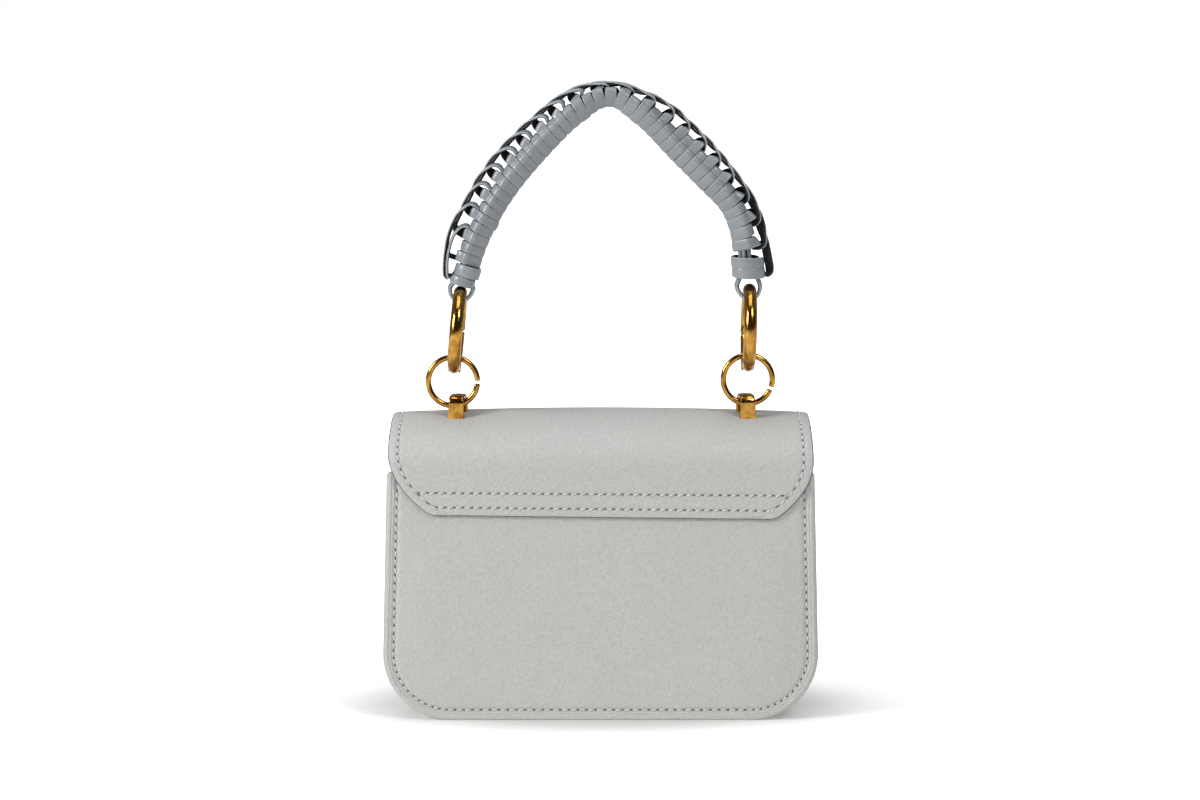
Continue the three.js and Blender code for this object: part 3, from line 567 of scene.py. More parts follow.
def leather_material(name, seams, edge_map=None, edge_paint_and_shadow_colour=EDGE_PAINT_AND_SEAM_SHADE_COLOUR, edge_reach=0.75):
    """Pale grey pebbled leather: painted shade in needle holes and along seams; a smooth edge band, edge paint on
    panels, painted shadow on the flap.
    """
    material, tree, shader = new_material(name)
    place = object_place(tree)
    grain = place_group(tree, PEBBLE_GRAIN, {"Cells": 1250.0}, {"Place": place})
    colour = mix_colours(tree, ramp(tree, grain.outputs["Tone"], 0.3, 0.7), LEATHER_SHADE, LEATHER_COLOUR)
    pit = math_node(tree, "MULTIPLY", ramp(tree, grain.outputs["Height"], 1.1, 0.4), 0.8)
    colour = mix_colours(tree, pit, colour, PIT_COLOUR)
    height = math_node(tree, "MULTIPLY", grain.outputs["Height"], 0.0003)
    for map_name, line, pitch in seams:
        seam = add_node(tree, "ShaderNodeUVMap", uv_map=map_name).outputs["UV"]
        holes = place_group(tree, NEEDLE_HOLES, {"Line": line, "Pitch": pitch}, {"Seam": seam})
        # Painted shade along each stitched seam line, in the edge paint's colour.
        colour = mix_colours(tree, math_node(tree, "MULTIPLY", holes.outputs["SeamShade"], 0.3), colour, EDGE_PAINT_AND_SEAM_SHADE_COLOUR)
        # Needle holes painted near black as the shade inside them.
        colour = mix_colours(tree, math_node(tree, "MULTIPLY", holes.outputs["Hole"], 0.8), colour, NEEDLE_HOLE_SHADE_COLOUR)
        height = math_node(tree, "MULTIPLY_ADD", holes.outputs["Hole"], -0.00035, height)
    # Band along the edge: edge paint on the panels; on the flap, a dark painted shadow line under its edge.
    if edge_map:
        split = map_parts(tree, add_node(tree, "ShaderNodeUVMap", uv_map=edge_map).outputs["UV"])
        edge_paint_and_shadow = ramp(tree, split.outputs["Y"], edge_reach, edge_reach / 3)
        colour = mix_colours(tree, edge_paint_and_shadow, colour, edge_paint_and_shadow_colour)
        height = math_node(tree, "MULTIPLY", height, math_node(tree, "SUBTRACT", 1.0, edge_paint_and_shadow))
    add_bump(tree, shader, height, 0.55)
    wire(tree, colour, shader.inputs["Base Color"])
    rough = add_node(tree, "ShaderNodeMapRange", {"From Min": 0.4, "From Max": 1.3, "To Min": 0.62, "To Max": 0.46})
    wire(tree, grain.outputs["Height"], rough.inputs["Value"])
    wire(tree, rough.outputs["Result"], shader.inputs["Roughness"])
    shader.inputs["Specular IOR Level"].default_value = 0.45
    return material


def lace_material(name, flesh=True):
    """Blue-grey lace: fine lengthwise streaks, paler edges as a painted highlight, and a near-black flesh side that
    is partly painted shade, by its map round the strip.
    """
    material, tree, shader = new_material(name)
    place = object_place(tree)
    strip = add_node(tree, "ShaderNodeUVMap", uv_map="strip").outputs["UV"]
    split = map_parts(tree, strip)
    grain = place_group(tree, PEBBLE_GRAIN, {"Cells": 2200.0}, {"Place": place})
    stretch = add_node(tree, "ShaderNodeMapping", {"Scale": (0.05, 14.0, 1.0)})
    wire(tree, strip, stretch.inputs["Vector"])
    streak = noise(tree, stretch.outputs["Vector"], 1.0, 3.0)
    tone = math_node(tree, "MULTIPLY_ADD", grain.outputs["Tone"], 0.5,
                     math_node(tree, "MULTIPLY", streak.outputs["Fac"], 0.5))
    colour = mix_colours(tree, ramp(tree, tone, 0.35, 0.65), LACE_COLOUR, LACE_LIGHT)
    around = math_node(tree, "ABSOLUTE", math_node(tree, "SUBTRACT", split.outputs["Y"], 0.25))
    off_face = math_node(tree, "SUBTRACT", 0.5,
                         math_node(tree, "ABSOLUTE", math_node(tree, "SUBTRACT", around, 0.5)))
    # Paler colour on the lace's edges: a painted highlight where the bevels catch the light.
    edge = ramp(tree, off_face, 0.15, 0.2)
    colour = mix_colours(tree, edge, colour, LACE_EDGE_HIGHLIGHT)
    # Near-black underside: partly the flesh side's own dark colour, partly painted shade under the strips.
    dull = ramp(tree, off_face, 0.255, 0.275) if flesh else ramp(tree, off_face, 2.0, 3.0)
    colour = mix_colours(tree, dull, colour, LACE_FLESH_AND_SHADE)
    add_bump(tree, shader, math_node(tree, "MULTIPLY", grain.outputs["Height"], 0.00007), 0.35)
    wire(tree, colour, shader.inputs["Base Color"])
    rough = math_node(tree, "MULTIPLY_ADD", ramp(tree, streak.outputs["Fac"], 0.9, -0.2), 0.25, 0.38)
    polish = math_node(tree, "MULTIPLY", math_node(tree, "SUBTRACT", 1.0, dull), LACE_POLISH)
    wire(tree, math_node(tree, "MULTIPLY_ADD", dull, 0.5, rough, clamp=True), shader.inputs["Roughness"])
    wire(tree, polish, shader.inputs["Coat Weight"])
    shader.inputs["Specular IOR Level"].default_value = 0.4
    shader.inputs["Coat Roughness"].default_value = 0.2
    return material


def brass_material(name):
    """Antique brass: warm gold that darkens in slow clouds, with fine rubbed scratches in its gloss."""
    material, tree, shader = new_material(name)
    place = object_place(tree)
    cloud, rub = noise(tree, place, 260.0, 4.0, 0.6), noise(tree, place, 2400.0, 2.0)
    colour = mix_colours(tree, ramp(tree, cloud.outputs["Fac"], 0.35, 0.68), BRASS_COLOUR, BRASS_SHADE)
    wire(tree, colour, shader.inputs["Base Color"])
    shader.inputs["Metallic"].default_value = 1.0
    gloss = math_node(tree, "MULTIPLY_ADD", cloud.outputs["Fac"], 0.16, 0.07)
    wire(tree, math_node(tree, "MULTIPLY_ADD", rub.outputs["Fac"], 0.06, gloss), shader.inputs["Roughness"])
    add_bump(tree, shader, math_node(tree, "MULTIPLY", cloud.outputs["Fac"], 0.0003), 0.12)
    return material


def thread_material(name):
    """Pale twisted sewing thread: fine bands across its length."""
    material, tree, shader = new_material(name)
    bands = noise(tree, object_place(tree), 3000.0, 2.0)
    wire(tree, mix_colours(tree, bands.outputs["Fac"], THREAD_SHADE, THREAD_COLOUR), shader.inputs["Base Color"])
    shader.inputs["Roughness"].default_value = 0.6
    return material


def steel_material(name):
    """Plain steel with brushed streaks in its gloss."""
    material, tree, shader = new_material(name)
    brush = noise(tree, object_place(tree), 1500.0, 2.0)
    wire(tree, ramp(tree, brush.outputs["Fac"], 0.0, 2.0), shader.inputs["Roughness"])
    wire(tree, mix_colours(tree, brush.outputs["Fac"], STEEL_SHADE, STEEL_COLOUR), shader.inputs["Base Color"])
    shader.inputs["Metallic"].default_value = 1.0
    return material


PANEL_LEATHER = leather_material("panel_leather", [("seam", PANEL_SEAM["inset"], PANEL_SEAM["pitch"])], "seam")
# The flap's edge band is a painted shadow line along its edge, not edge paint.
FLAP_LEATHER = leather_material(
    "flap_leather",
    [("side_seam", FLAP_SEAM["side"], FLAP_SEAM["pitch"])]
    + [("back_seam", row, FLAP_SEAM["pitch"]) for row in FLAP_SEAM["rows"]], "edge", FLAP_EDGE_SHADOW_COLOUR, 0.7)
GUSSET_LEATHER = leather_material("gusset_leather", [])
LACE_LEATHER = lace_material("lace_leather")
CORE_LEATHER = lace_material("core_leather", flesh=False)
AGED_BRASS = brass_material("aged_brass")
SEWING_THREAD = thread_material("sewing_thread")
MAGNET_STEEL = steel_material("magnet_steel")


# Panels

def panel_ring(inset):
    """Outline of the panel drawn in by an inset: x and z, from the middle of the bottom round by the right side.

    A rounded rectangle with tapering sides. Each inset shrinks the sides and the corner radii, and every
    outline has the same count of points on each run, so rings of several insets join into a grid.
    """
    low, top_half, top = PANEL["low_half"] - inset, PANEL["top_half"] - inset, PANEL["top"] - inset
    low_corner = max(PANEL["corner"] - inset, 6.0)
    top_corner = max(PANEL["top_corner"] - inset, 0.4)
    turn = np.linspace(0, np.pi / 2, 26)
    right = [
        np.stack([low - low_corner + low_corner * np.sin(turn),
                  inset + low_corner - low_corner * np.cos(turn)], -1)[1:],
        np.stack([np.linspace(low, top_half, 40), np.linspace(inset + low_corner, top - top_corner, 40)], -1)[1:],
        np.stack([top_half - top_corner + top_corner * np.cos(turn[::5]),
                  top - top_corner + top_corner * np.sin(turn[::5])], -1)[1:],
    ]
    half = np.vstack([np.stack([np.linspace(0, low - low_corner, 36), np.full(36, inset)], -1), *right,
                      np.stack([np.linspace(top_half - top_corner, 0, 36), np.full(36, top)], -1)[1:]])
    left = half[1:-1][::-1] * (-1, 1)
    return np.vstack([half, left])


def panel_relief(inset, z):
    """Height of the panel's outer face: a rounded bead, a crease, a stitched valley and a soft swell inside it.

    The bead is a quarter ellipse, the crease and the valley are bell curves about their lines, and the swell is
    a smooth step that fades out below the flap.
    """
    bead = PANEL_SEAM["bead"]
    edge = PANEL_SEAM["bead_drop"] * (1 - np.sqrt(np.maximum(1 - np.maximum(1 - inset / bead, 0) ** 2, 0)))
    crease = PANEL_SEAM["crease"] * bell(inset, bead + 0.35, 0.3)
    valley = PANEL_SEAM["valley"] * bell(inset, PANEL_SEAM["inset"], PANEL_SEAM["spread"])
    swell = PANEL_SEAM["puff"] * smoothstep(PANEL_SEAM["inset"], 20, inset) * (1 - smoothstep(74, 90, z))
    return swell - valley - edge - crease


def panel_piece(name, node, outwards):
    """Panel: rings of growing inset on the outer face, then the same rings back on the inner face.

    Past the deepest inset the rings shrink towards the middle of the panel.
    """
    rings = np.stack([panel_ring(inset) for inset in PANEL_INSETS])
    middle = np.array((0.0, PANEL["top"] / 2))
    inner_rings = middle + (rings[-1] - middle)[None] * PANEL_SHRINKS[:, None, None]
    rings = np.concatenate([rings, inner_rings])
    insets = np.concatenate([PANEL_INSETS, PANEL_INSETS[-1] + 40 * (1 - PANEL_SHRINKS)])
    x, z = rings[..., 0], rings[..., 1]
    inset = insets[:, None]
    outer = outwards * (PANEL["face"] + panel_relief(inset, z))
    inner = outwards * (PANEL["face"] - PANEL["thickness"] + rim_drop(0.5, inset) + 0 * z)
    points = np.concatenate([np.stack([x, outer, z], -1)[::-1], np.stack([x, inner, z], -1)])
    rows, cols = points.shape[:2]
    quads, corner_rows, corner_cols = grid_quads(rows, cols, wrap_cols=True)
    edge_line = np.vstack([rings[0], rings[0][:1]])
    along = arc_lengths(edge_line) / PANEL_SEAM["pitch"]
    depth = np.concatenate([insets[::-1], np.zeros(len(insets))])
    seam = np.stack([along[corner_cols], depth[corner_rows]], -1)
    caps = end_caps(rows, cols)
    if outwards > 0:
        quads, seam, caps = quads[:, ::-1], seam[:, ::-1], [cap[::-1] for cap in caps]
    return add_piece(name, points, quads, PANEL_LEATHER, [node], {"seam": seam}, caps,
                     (0.0, insets[-1]))


# Stitches

def stitch_shape():
    """One stitch: a round bar along x whose radius swells in the middle and whose ends dip into the leather."""
    along, turn = np.meshgrid(np.linspace(-1, 1, 7), np.linspace(0, 2 * np.pi, 8, endpoint=False), indexing="ij")
    radius = STITCH["thread"] * np.sqrt(np.maximum(1 - along ** 4, 0.02))
    lift = STITCH["lift"] - STITCH["dip"] * along ** 4
    points = np.stack([STITCH["length"] * along, radius * np.cos(turn), lift + radius * np.sin(turn)], -1)
    quads, _, _ = grid_quads(7, 8, wrap_cols=True)
    return points.reshape(-1, 3), quads


def stitches(name, centres, alongs, normals, slant):
    """Row of stitches: the same bar set at each place, turned by a slant in the surface."""
    shape, quads = stitch_shape()
    slant = np.radians(slant)
    across = unit(np.cross(normals, alongs))
    lengthwise = unit(alongs * np.cos(slant) + across * np.sin(slant))
    sideways = np.cross(normals, lengthwise)
    points = (centres[:, None] + shape[None, :, :1] * lengthwise[:, None] + shape[None, :, 1:2] * sideways[:, None]
              + shape[None, :, 2:] * normals[:, None])
    faces = (quads[None] + (np.arange(len(centres)) * len(shape))[:, None, None]).reshape(-1, 4)
    return add_piece(name, points, faces[:, ::-1], SEWING_THREAD)


def panel_stitches(name, outwards):
    """Stitches of a panel at whole places along its edge, on the seam's inset, from one side round to the other."""
    edge, seam = panel_ring(0.0), panel_ring(PANEL_SEAM["inset"])
    places = arc_lengths(np.vstack([edge, edge[:1]])) / PANEL_SEAM["pitch"]
    line = np.vstack([seam, seam[:1]])
    whole = np.arange(0, int(places[-1]) + 1)
    x, z = np.interp(whole, places, line[:, 0]), np.interp(whole, places, line[:, 1])
    ahead = np.stack([np.interp(whole + 0.3, places, line[:, 0]), np.interp(whole + 0.3, places, line[:, 1])], -1)
    seen = z < PANEL["top"] - 8
    depth = PANEL["face"] - PANEL_SEAM["valley"]
    centres = np.stack([x, np.full_like(x, outwards * depth), z], -1)[seen]
    alongs = unit(np.stack([ahead[:, 0] - x, 0 * x, ahead[:, 1] - z], -1))[seen]
    normals = np.tile((0.0, float(outwards), 0.0), (len(centres), 1))
    return stitches(name, centres, alongs, normals, STITCH["slant"])


# Gusset

def gusset_piece():
    """Gusset: a channel section carried round the panels' edge.

    The section runs down one flange, across the floor and up the other at the leather's thickness, and its
    folds are rounded. The floor sinks a little towards the middle of the bag's depth.
    """
    outer_y = PANEL["face"] - PANEL["thickness"] - GUSSET["gap"]
    floor, thick, rim = GUSSET["flange"], GUSSET["thickness"], GUSSET["inset"]
    fold = np.linspace(0, np.pi / 2, 6)
    across = np.linspace(1, -1, 21)[1:-1]

    def side(y_face, depth, radius):
        leg = np.stack([np.full(6, y_face), np.linspace(rim, depth - radius, 6)], -1)
        bend = np.stack([y_face - radius + radius * np.cos(fold), depth - radius + radius * np.sin(fold)], -1)[1:]
        half_floor = y_face - radius
        middle = np.stack([half_floor * across, depth + GUSSET["sag"] * (1 - across ** 2)], -1)
        right = np.vstack([leg, bend])
        return np.vstack([right, middle, right[::-1] * (-1, 1)])

    outside = side(outer_y - thick, floor, GUSSET["fold"])
    inside = side(outer_y, floor + thick, GUSSET["fold"] + thick)
    section = np.vstack([outside, inside[::-1]])
    edge = panel_ring(0.0)
    order = np.roll(np.arange(len(edge)), len(edge) // 2)
    path = edge[order]
    path = path[path[:, 1] <= GUSSET["top"]]
    ahead = np.gradient(path, axis=0)
    inward = unit(np.stack([-ahead[:, 1], ahead[:, 0]], -1))
    points = np.stack([
        path[:, None, 0] + section[None, :, 1] * inward[:, None, 0],
        np.broadcast_to(section[None, :, 0], (len(path), len(section))),
        path[:, None, 1] + section[None, :, 1] * inward[:, None, 1]], -1)
    rows, cols = points.shape[:2]
    quads, _, _ = grid_quads(rows, cols, wrap_cols=True)
    faces = np.vstack([quads[:, ::-1], sheet_ends(rows, cols)])
    return add_piece("gusset_strip", points, faces, GUSSET_LEATHER, ["gusset"])


# Flap

ARCH_BASE = BODY_HEIGHT - FLAP["arch_rise"]


def flap_line():
    """Side view of the flap: y, z and share of the arch, up the back, over a half ellipse and down the front."""
    angle = np.linspace(np.pi, 0, 161)
    back = np.stack([np.full(30, -HALF_DEPTH), np.linspace(FLAP["back_edge"], ARCH_BASE, 30), np.zeros(30)], -1)
    arch = np.stack([HALF_DEPTH * np.cos(angle), ARCH_BASE + FLAP["arch_rise"] * np.sin(angle), np.sin(angle)], -1)
    front = np.stack([np.full(60, HALF_DEPTH), np.linspace(ARCH_BASE, FLAP["front_edge"], 60), np.zeros(60)], -1)
    return np.vstack([back[:-1], arch, front[1:]])


FLAP_LINE = flap_line()
FLAP_ALONG = arc_lengths(FLAP_LINE[:, :2])
FLAP_LENGTH = FLAP_ALONG[-1]
FLAP_NORMAL = unit(np.stack([-np.gradient(FLAP_LINE[:, 1]), np.gradient(FLAP_LINE[:, 0])], -1))


def flap_half_width(along, right):
    """Half width at a distance from the back edge, on the left side or, where right is true, on the right side.

    The back corners are cut by a power curve and rounded by a quarter ellipse, the arch is drawn in by the square
    of its share, and the front corners are round.
    """
    arch = np.interp(along, FLAP_ALONG, FLAP_LINE[:, 2])
    width = FLAP["half"] - FLAP["crown_waist"] * arch ** 2
    insets = [cut["inset"] * np.maximum(0, 1 - along / cut["drop"]) ** cut["power"]
              + cut["round_inset"] * (1 - np.sqrt(1 - np.clip(1 - along / cut["round_drop"], 0, 1) ** 2))
              for cut in FLAP_CUTS]
    width = width - np.where(right, insets[1], insets[0])
    corner = FLAP["front_corner"]
    into = np.clip(along - (FLAP_LENGTH - corner), 0, corner)
    return width - corner + np.sqrt(np.maximum(corner ** 2 - into ** 2, 0))


def flap_point(x, along, height):
    """Place on the flap: across, distance from the back edge and height above the sheet's outer face."""
    y, z, arch = (np.interp(along, FLAP_ALONG, FLAP_LINE[:, i]) for i in range(3))
    ny, nz = (np.interp(along, FLAP_ALONG, FLAP_NORMAL[:, i]) for i in range(2))
    slope = FLAP["edge_slope"] * np.maximum(0, 1 - along / FLAP["slope_drop"])
    drop = FLAP["crown_bow"] * (x / FLAP["half"]) ** 2 * arch - slope * x
    return np.stack([x + 0 * along, y + height * ny, z + height * nz - drop], -1)


def crowded(count, power):
    """Places from nought to one that crowd towards both ends."""
    even = np.linspace(-1, 1, count)
    return 0.5 + 0.5 * np.sign(even) * (1 - (1 - np.abs(even)) ** power)


def flap_slant(along, right):
    """Length along the flap's side edge per distance from the back edge, from the growth of the half width."""
    growth = flap_half_width(along + 0.5, right) - flap_half_width(np.maximum(along - 0.5, 0), right)
    return np.sqrt(1 + np.clip(growth, -3, 3) ** 2)


def flap_edge_distance(x, along):
    """Distance to the flap's side or front edge, and the seam's place along it from the back corner.

    The back half has slanted sides. The front half is a rounded rectangle, and the place runs on round its corner
    and to the middle of the front.
    """
    side = (flap_half_width(along, x > 0) - np.abs(x)) / flap_slant(along, x > 0)
    corner = FLAP["front_corner"]
    over_x, over_along = np.abs(x) - FLAP["half"] + corner, along - FLAP_LENGTH + corner
    beyond = np.hypot(np.maximum(over_x, 0), np.maximum(over_along, 0))
    rounded = corner - beyond - np.minimum(np.maximum(over_x, over_along), 0)
    turn = np.arctan2(np.maximum(over_along, 0), np.maximum(over_x, 1e-6))
    place = (np.minimum(along, FLAP_LENGTH - corner) + (corner - FLAP_SEAM["side"]) * turn * (over_along > 0)
             + np.maximum(-over_x, 0) * (over_along > 0))
    return np.where(along > FLAP_LENGTH / 2, rounded, side), place


def flap_seam_point(place, right):
    """Half width and distance from the back edge of the side and front seam, at places along it."""
    inset, corner = FLAP_SEAM["side"], FLAP["front_corner"]
    straight, bend = FLAP_LENGTH - corner, corner - inset
    reach = flap_half_width(place, right) - inset * flap_slant(place, right)
    turn = np.clip((place - straight) / bend, 0, np.pi / 2)
    past = np.maximum(place - straight - bend * np.pi / 2, 0)
    round_x = FLAP["half"] - corner + bend * np.cos(turn) - past
    return np.where(place < straight, reach, round_x), np.minimum(place, straight) + bend * np.sin(turn)


def flap_side_pitch():
    """Stitch pitch of the seam down the side and along the front, with a stitch at the middle of the front."""
    corner = FLAP["front_corner"]
    length = FLAP_LENGTH - corner + (corner - FLAP_SEAM["side"]) * np.pi / 2 + FLAP["half"] - corner
    count = round(length / FLAP_SEAM["pitch"])
    return length / count, count


def back_skive(along):
    """How much thinner the flap is towards its back edge."""
    return FLAP_SKIVE["back"] * smoothstep(FLAP_SKIVE["back_from"], FLAP_SKIVE["back_to"], along)


def flap_piece():
    """Flap: a grid across the width and along the sheet, on its outer face and back on its inner face.

    The relief is a quarter-circle rim, a thinning by squares towards the edge, and bell-shaped valleys along the
    side seam and the two rows at the back. Also gives its flat area.
    """
    places = crowded(190, 2.1) * FLAP_LENGTH
    share = 2 * crowded(112, 2.6) - 1
    x = share[None, :] * flap_half_width(places[:, None], share[None, :] > 0)
    along = np.broadcast_to(places[:, None], x.shape)
    side, place = flap_edge_distance(x, along)
    nearest = np.minimum(side, along)
    inside_seam = side > FLAP_SEAM["side"]
    valleys = bell(side, FLAP_SEAM["side"], FLAP_SEAM["spread"])
    valleys = valleys + sum(bell(along, row, FLAP_SEAM["spread"]) * inside_seam for row in FLAP_SEAM["rows"])
    skive = FLAP_SKIVE["edge"] * np.maximum(0, 1 - nearest / FLAP_SKIVE["edge_reach"]) ** 2 + back_skive(along)
    relief = -rim_drop(FLAP["rim"], nearest) - skive - FLAP_SEAM["valley"] * valleys
    outer, inner = flap_point(x, along, relief), flap_point(x, along, -FLAP["thickness"])
    grid = np.concatenate([outer, inner[:, ::-1]], 1)
    rows, cols = grid.shape[:2]
    quads, corner_rows, corner_cols = grid_quads(rows, cols, wrap_cols=True)
    faces = np.vstack([quads, sheet_ends(rows, cols)])
    away = 99.0
    sewn = along > FLAP_SEAM["rows"][0] - 0.9

    def both(values, inside):
        full = np.concatenate([values, np.full_like(values, inside)], 1)
        return full[np.minimum(corner_rows, rows - 1), corner_cols % cols]

    pitch = FLAP_SEAM["pitch"]
    maps = {
        "side_seam": np.stack([both(place / flap_side_pitch()[0], 0), both(np.where(sewn, side, away), away)], -1),
        "back_seam": np.stack([both(x / pitch, 0), both(np.where(inside_seam, along, away), away)], -1),
        "edge": np.stack([both(place / pitch, 0), both(nearest, 0.0)], -1),
    }
    piece = add_piece("flap_sheet", grid, faces, FLAP_LEATHER, ["flap"], maps)
    area = sum(np.trapz(flap_half_width(FLAP_ALONG, right), FLAP_ALONG) for right in (False, True))
    return piece, area


def flap_stitch_rows():
    """Stitches of the flap: the seam down each side and to the middle of the front, and the two rows at the back."""
    pitch, step = FLAP_SEAM["pitch"], 0.4
    side_pitch, count = flap_side_pitch()
    rows = []
    for sign, last in ((-1, count + 1), (1, count)):
        places = np.arange(1, last) * side_pitch
        (x, along), (next_x, next_along) = (flap_seam_point(at, sign > 0) for at in (places, places + step))
        rows.append((sign * x, along, sign * next_x, next_along))
    for row in FLAP_SEAM["rows"]:
        left, right = (float(flap_half_width(row, side)) - 1.6 * FLAP_SEAM["side"] for side in (False, True))
        across = np.arange(-int(left / pitch), int(right / pitch) + 1) * pitch
        level = np.full_like(across, row)
        rows.append((across, level, across + step, level))
    for x, along, next_x, next_along in rows:
        base = flap_point(x, along, -FLAP_SEAM["valley"] - back_skive(along))
        up = unit(flap_point(x, along, 1.0) - flap_point(x, along, 0.0))
        yield base, unit(flap_point(next_x, next_along, -FLAP_SEAM["valley"] - back_skive(next_along)) - base), up


# Lace

def lace_profile(thickness, bevel):
    """Section of a lace: crowned faces with bevelled edges.

    Columns: share of the half width, inset from the edge and height. The place round the section is a quarter at
    the middle of the grain face and three quarters at the middle of the flesh side.
    """
    b, crown = thickness / 2, 0.1
    face = np.array([(-1, bevel, b - 0.04), (-1, bevel + 0.25, b), (0, 0, b + crown), (1, bevel + 0.25, b),
                     (1, bevel, b - 0.04)])
    edge = np.array([(1, 0.1, b - 0.5 * bevel), (1, 0, 0.25 * b), (1, 0, -0.25 * b), (1, 0.1, -b + 0.5 * bevel)])
    section = np.vstack([face, edge, face[::-1] * (1, 1, -1), edge[::-1] * (-1, 1, 1)])
    place = np.concatenate([np.linspace(0.07, 0.43, 5), np.linspace(0.45, 0.55, 4), np.linspace(0.57, 0.93, 5),
                            np.linspace(0.95, 1.05, 4)])
    return section, place


def strip_part(path, across, width=None, thickness=None, bevel=None):
    """Flat strip carried along a path; across gives its width direction, and its grain side faces along x across.

    The width may change along the path. Gives points, quads, end caps and the map (distance along, place round)
    of each corner.
    """
    section, place = lace_profile(thickness or LACE["thickness"], bevel or LACE["bevel"])
    half = np.broadcast_to(LACE["width"] if width is None else width, len(path)) / 2
    tangent = unit(np.gradient(path, axis=0))
    across = unit(across - tangent * np.sum(across * tangent, -1, keepdims=True))
    up = np.cross(tangent, across)
    sideways = section[None, :, 0] * (half[:, None] - section[None, :, 1])
    points = path[:, None] + sideways[..., None] * across[:, None] + section[None, :, 2:] * up[:, None]
    rows, cols = points.shape[:2]
    quads, corner_rows, corner_cols = grid_quads(rows, cols, wrap_cols=True)
    places = np.concatenate([place, [place[0] + 1]])
    strip = np.stack([arc_lengths(path)[corner_rows], places[corner_cols]], -1)
    return points, quads[:, ::-1], end_caps(rows, cols), strip[:, ::-1]


def strips_piece(name, parts, nodes=(), material=LACE_LEATHER):
    """One object of several strips, with their maps."""
    points, quads, caps = join_parts([part[:3] for part in parts])
    strip = np.vstack([part[3] for part in parts])
    return add_piece(name, points, quads, material, nodes, {"strip": strip}, caps)


HANDLE_SMOOTH = smooth_line(HANDLE_LINE, 60, 2)
HANDLE_ALONG = arc_lengths(HANDLE_SMOOTH)
HANDLE_LENGTH = HANDLE_ALONG[-1]
HANDLE_TANGENT = unit(np.gradient(HANDLE_SMOOTH, axis=0))


def handle_frame(along):
    """Middle point, direction along and direction outwards of the handle; it runs straight on past its ends."""
    inside = np.clip(along, 0, HANDLE_LENGTH)
    centre = np.stack([np.interp(inside, HANDLE_ALONG, HANDLE_SMOOTH[:, i]) for i in range(2)], -1)
    ahead = unit(np.stack([np.interp(inside, HANDLE_ALONG, HANDLE_TANGENT[:, i]) for i in range(2)], -1))
    centre = centre + ahead * (along - inside)[:, None]
    flat = np.zeros(len(centre))
    return (np.stack([centre[:, 0], flat + CHAIN_Y, centre[:, 1]], -1),
            np.stack([ahead[:, 0], flat, ahead[:, 1]], -1), np.stack([-ahead[:, 1], flat, ahead[:, 0]], -1))


def read_table(table, along):
    """Value of a table of (distance along, value) at the given distances."""
    table = np.array(table)
    return np.interp(along, table[:, 0], table[:, 1])


BACK = np.array((0.0, 1.0, 0.0))


def strip_on_handle(keys, steps, **size):
    """Strip through keys given on the handle: along, out, back, and the width direction along, outwards and back."""
    keys = np.asarray(keys, float)
    line = smooth_line(keys, steps, 3)
    centre, ahead, outward = handle_frame(line[:, 0])
    path = centre + outward * line[:, 1:2] + BACK * line[:, 2:3]
    across = ahead * line[:, 3:4] + outward * line[:, 4:5] + BACK * line[:, 5:6]
    return strip_part(path, across, **size)


def spine_height(along):
    """Height of the spine above the wound turns."""
    return read_table(SPINE, along) - WOUND


TURN_MIDDLES = (np.array(TURN_EDGES)[1:] + np.array(TURN_EDGES)[:-1]) / 2


def turns_part():
    """Wound turns: a lace carried round the core, at each turn's own place, width and height.

    It follows the plain section, or the raised one where a turn stands high. It slopes along the handle as it goes
    outwards, and steps on to the next turn behind. Over the spine every second turn leans to its hook. Both ends
    are drawn in under the turns.
    """
    tops, widths = np.array(TURN_TOPS), np.diff(TURN_EDGES) - TURN["gap"]
    count, spare = len(tops), TURN["spare"]
    done = np.linspace(-spare, count + spare, int((count + 2 * spare) * 44))
    turn = np.clip(np.floor(done), 0, count - 1).astype(int)
    share = done - turn
    on = smoothstep(*TURN["step"], share)
    after = np.minimum(turn + 1, count - 1)

    def stepped(values):
        return values[turn] + (values[after] - values[turn]) * on

    middle, top, half = stepped(TURN_MIDDLES), stepped(tops) - LACE["thickness"] / 2, LACE["thickness"] / 2
    section = smooth_line(TURN_SECTION, 12, 1)
    inner, low, *forms = (np.interp(share, section[:, 0], section[:, i]) for i in range(1, 7))
    plain, plain_back, raised, raised_back = forms
    drawn_out = smoothstep(*TURN["raised"], top)
    drawn_in = 1 - 0.3 * (smoothstep(-0.05, -spare, done) + smoothstep(count + 0.05, count + spare, done))
    out = low - inner * (read_table(TURN_INNER, middle) - half)
    out = (out + (plain + (raised - plain) * drawn_out) * (top - TURN["round"])) * drawn_in
    back = (plain_back + (raised_back - plain_back) * drawn_out) * drawn_in
    along = middle + read_table(TURN_SLOPE, middle) * out
    centre, ahead, outward = handle_frame(along)
    lean = np.where((turn % 2 == 0) & (turn > 0), read_table(TURN_LEAN, middle), TURN["plain_lean"])
    lean = lean * smoothstep(0.34, 0.46, share) * smoothstep(0.72, 0.56, share)
    return strip_part(centre + outward * out[:, None] + BACK * back[:, None], -ahead - outward * lean[:, None],
                      stepped(widths))


def rolled(along, table):
    """Distances back and width directions with the spine's roll added to the part that points outwards."""
    roll = SPINE_ROLL["amount"] * smoothstep(SPINE_ROLL["start"], SPINE_ROLL["full"], along)
    return table + roll[:, None] * np.array((0.0, 0.0, 1.0, 0.0))


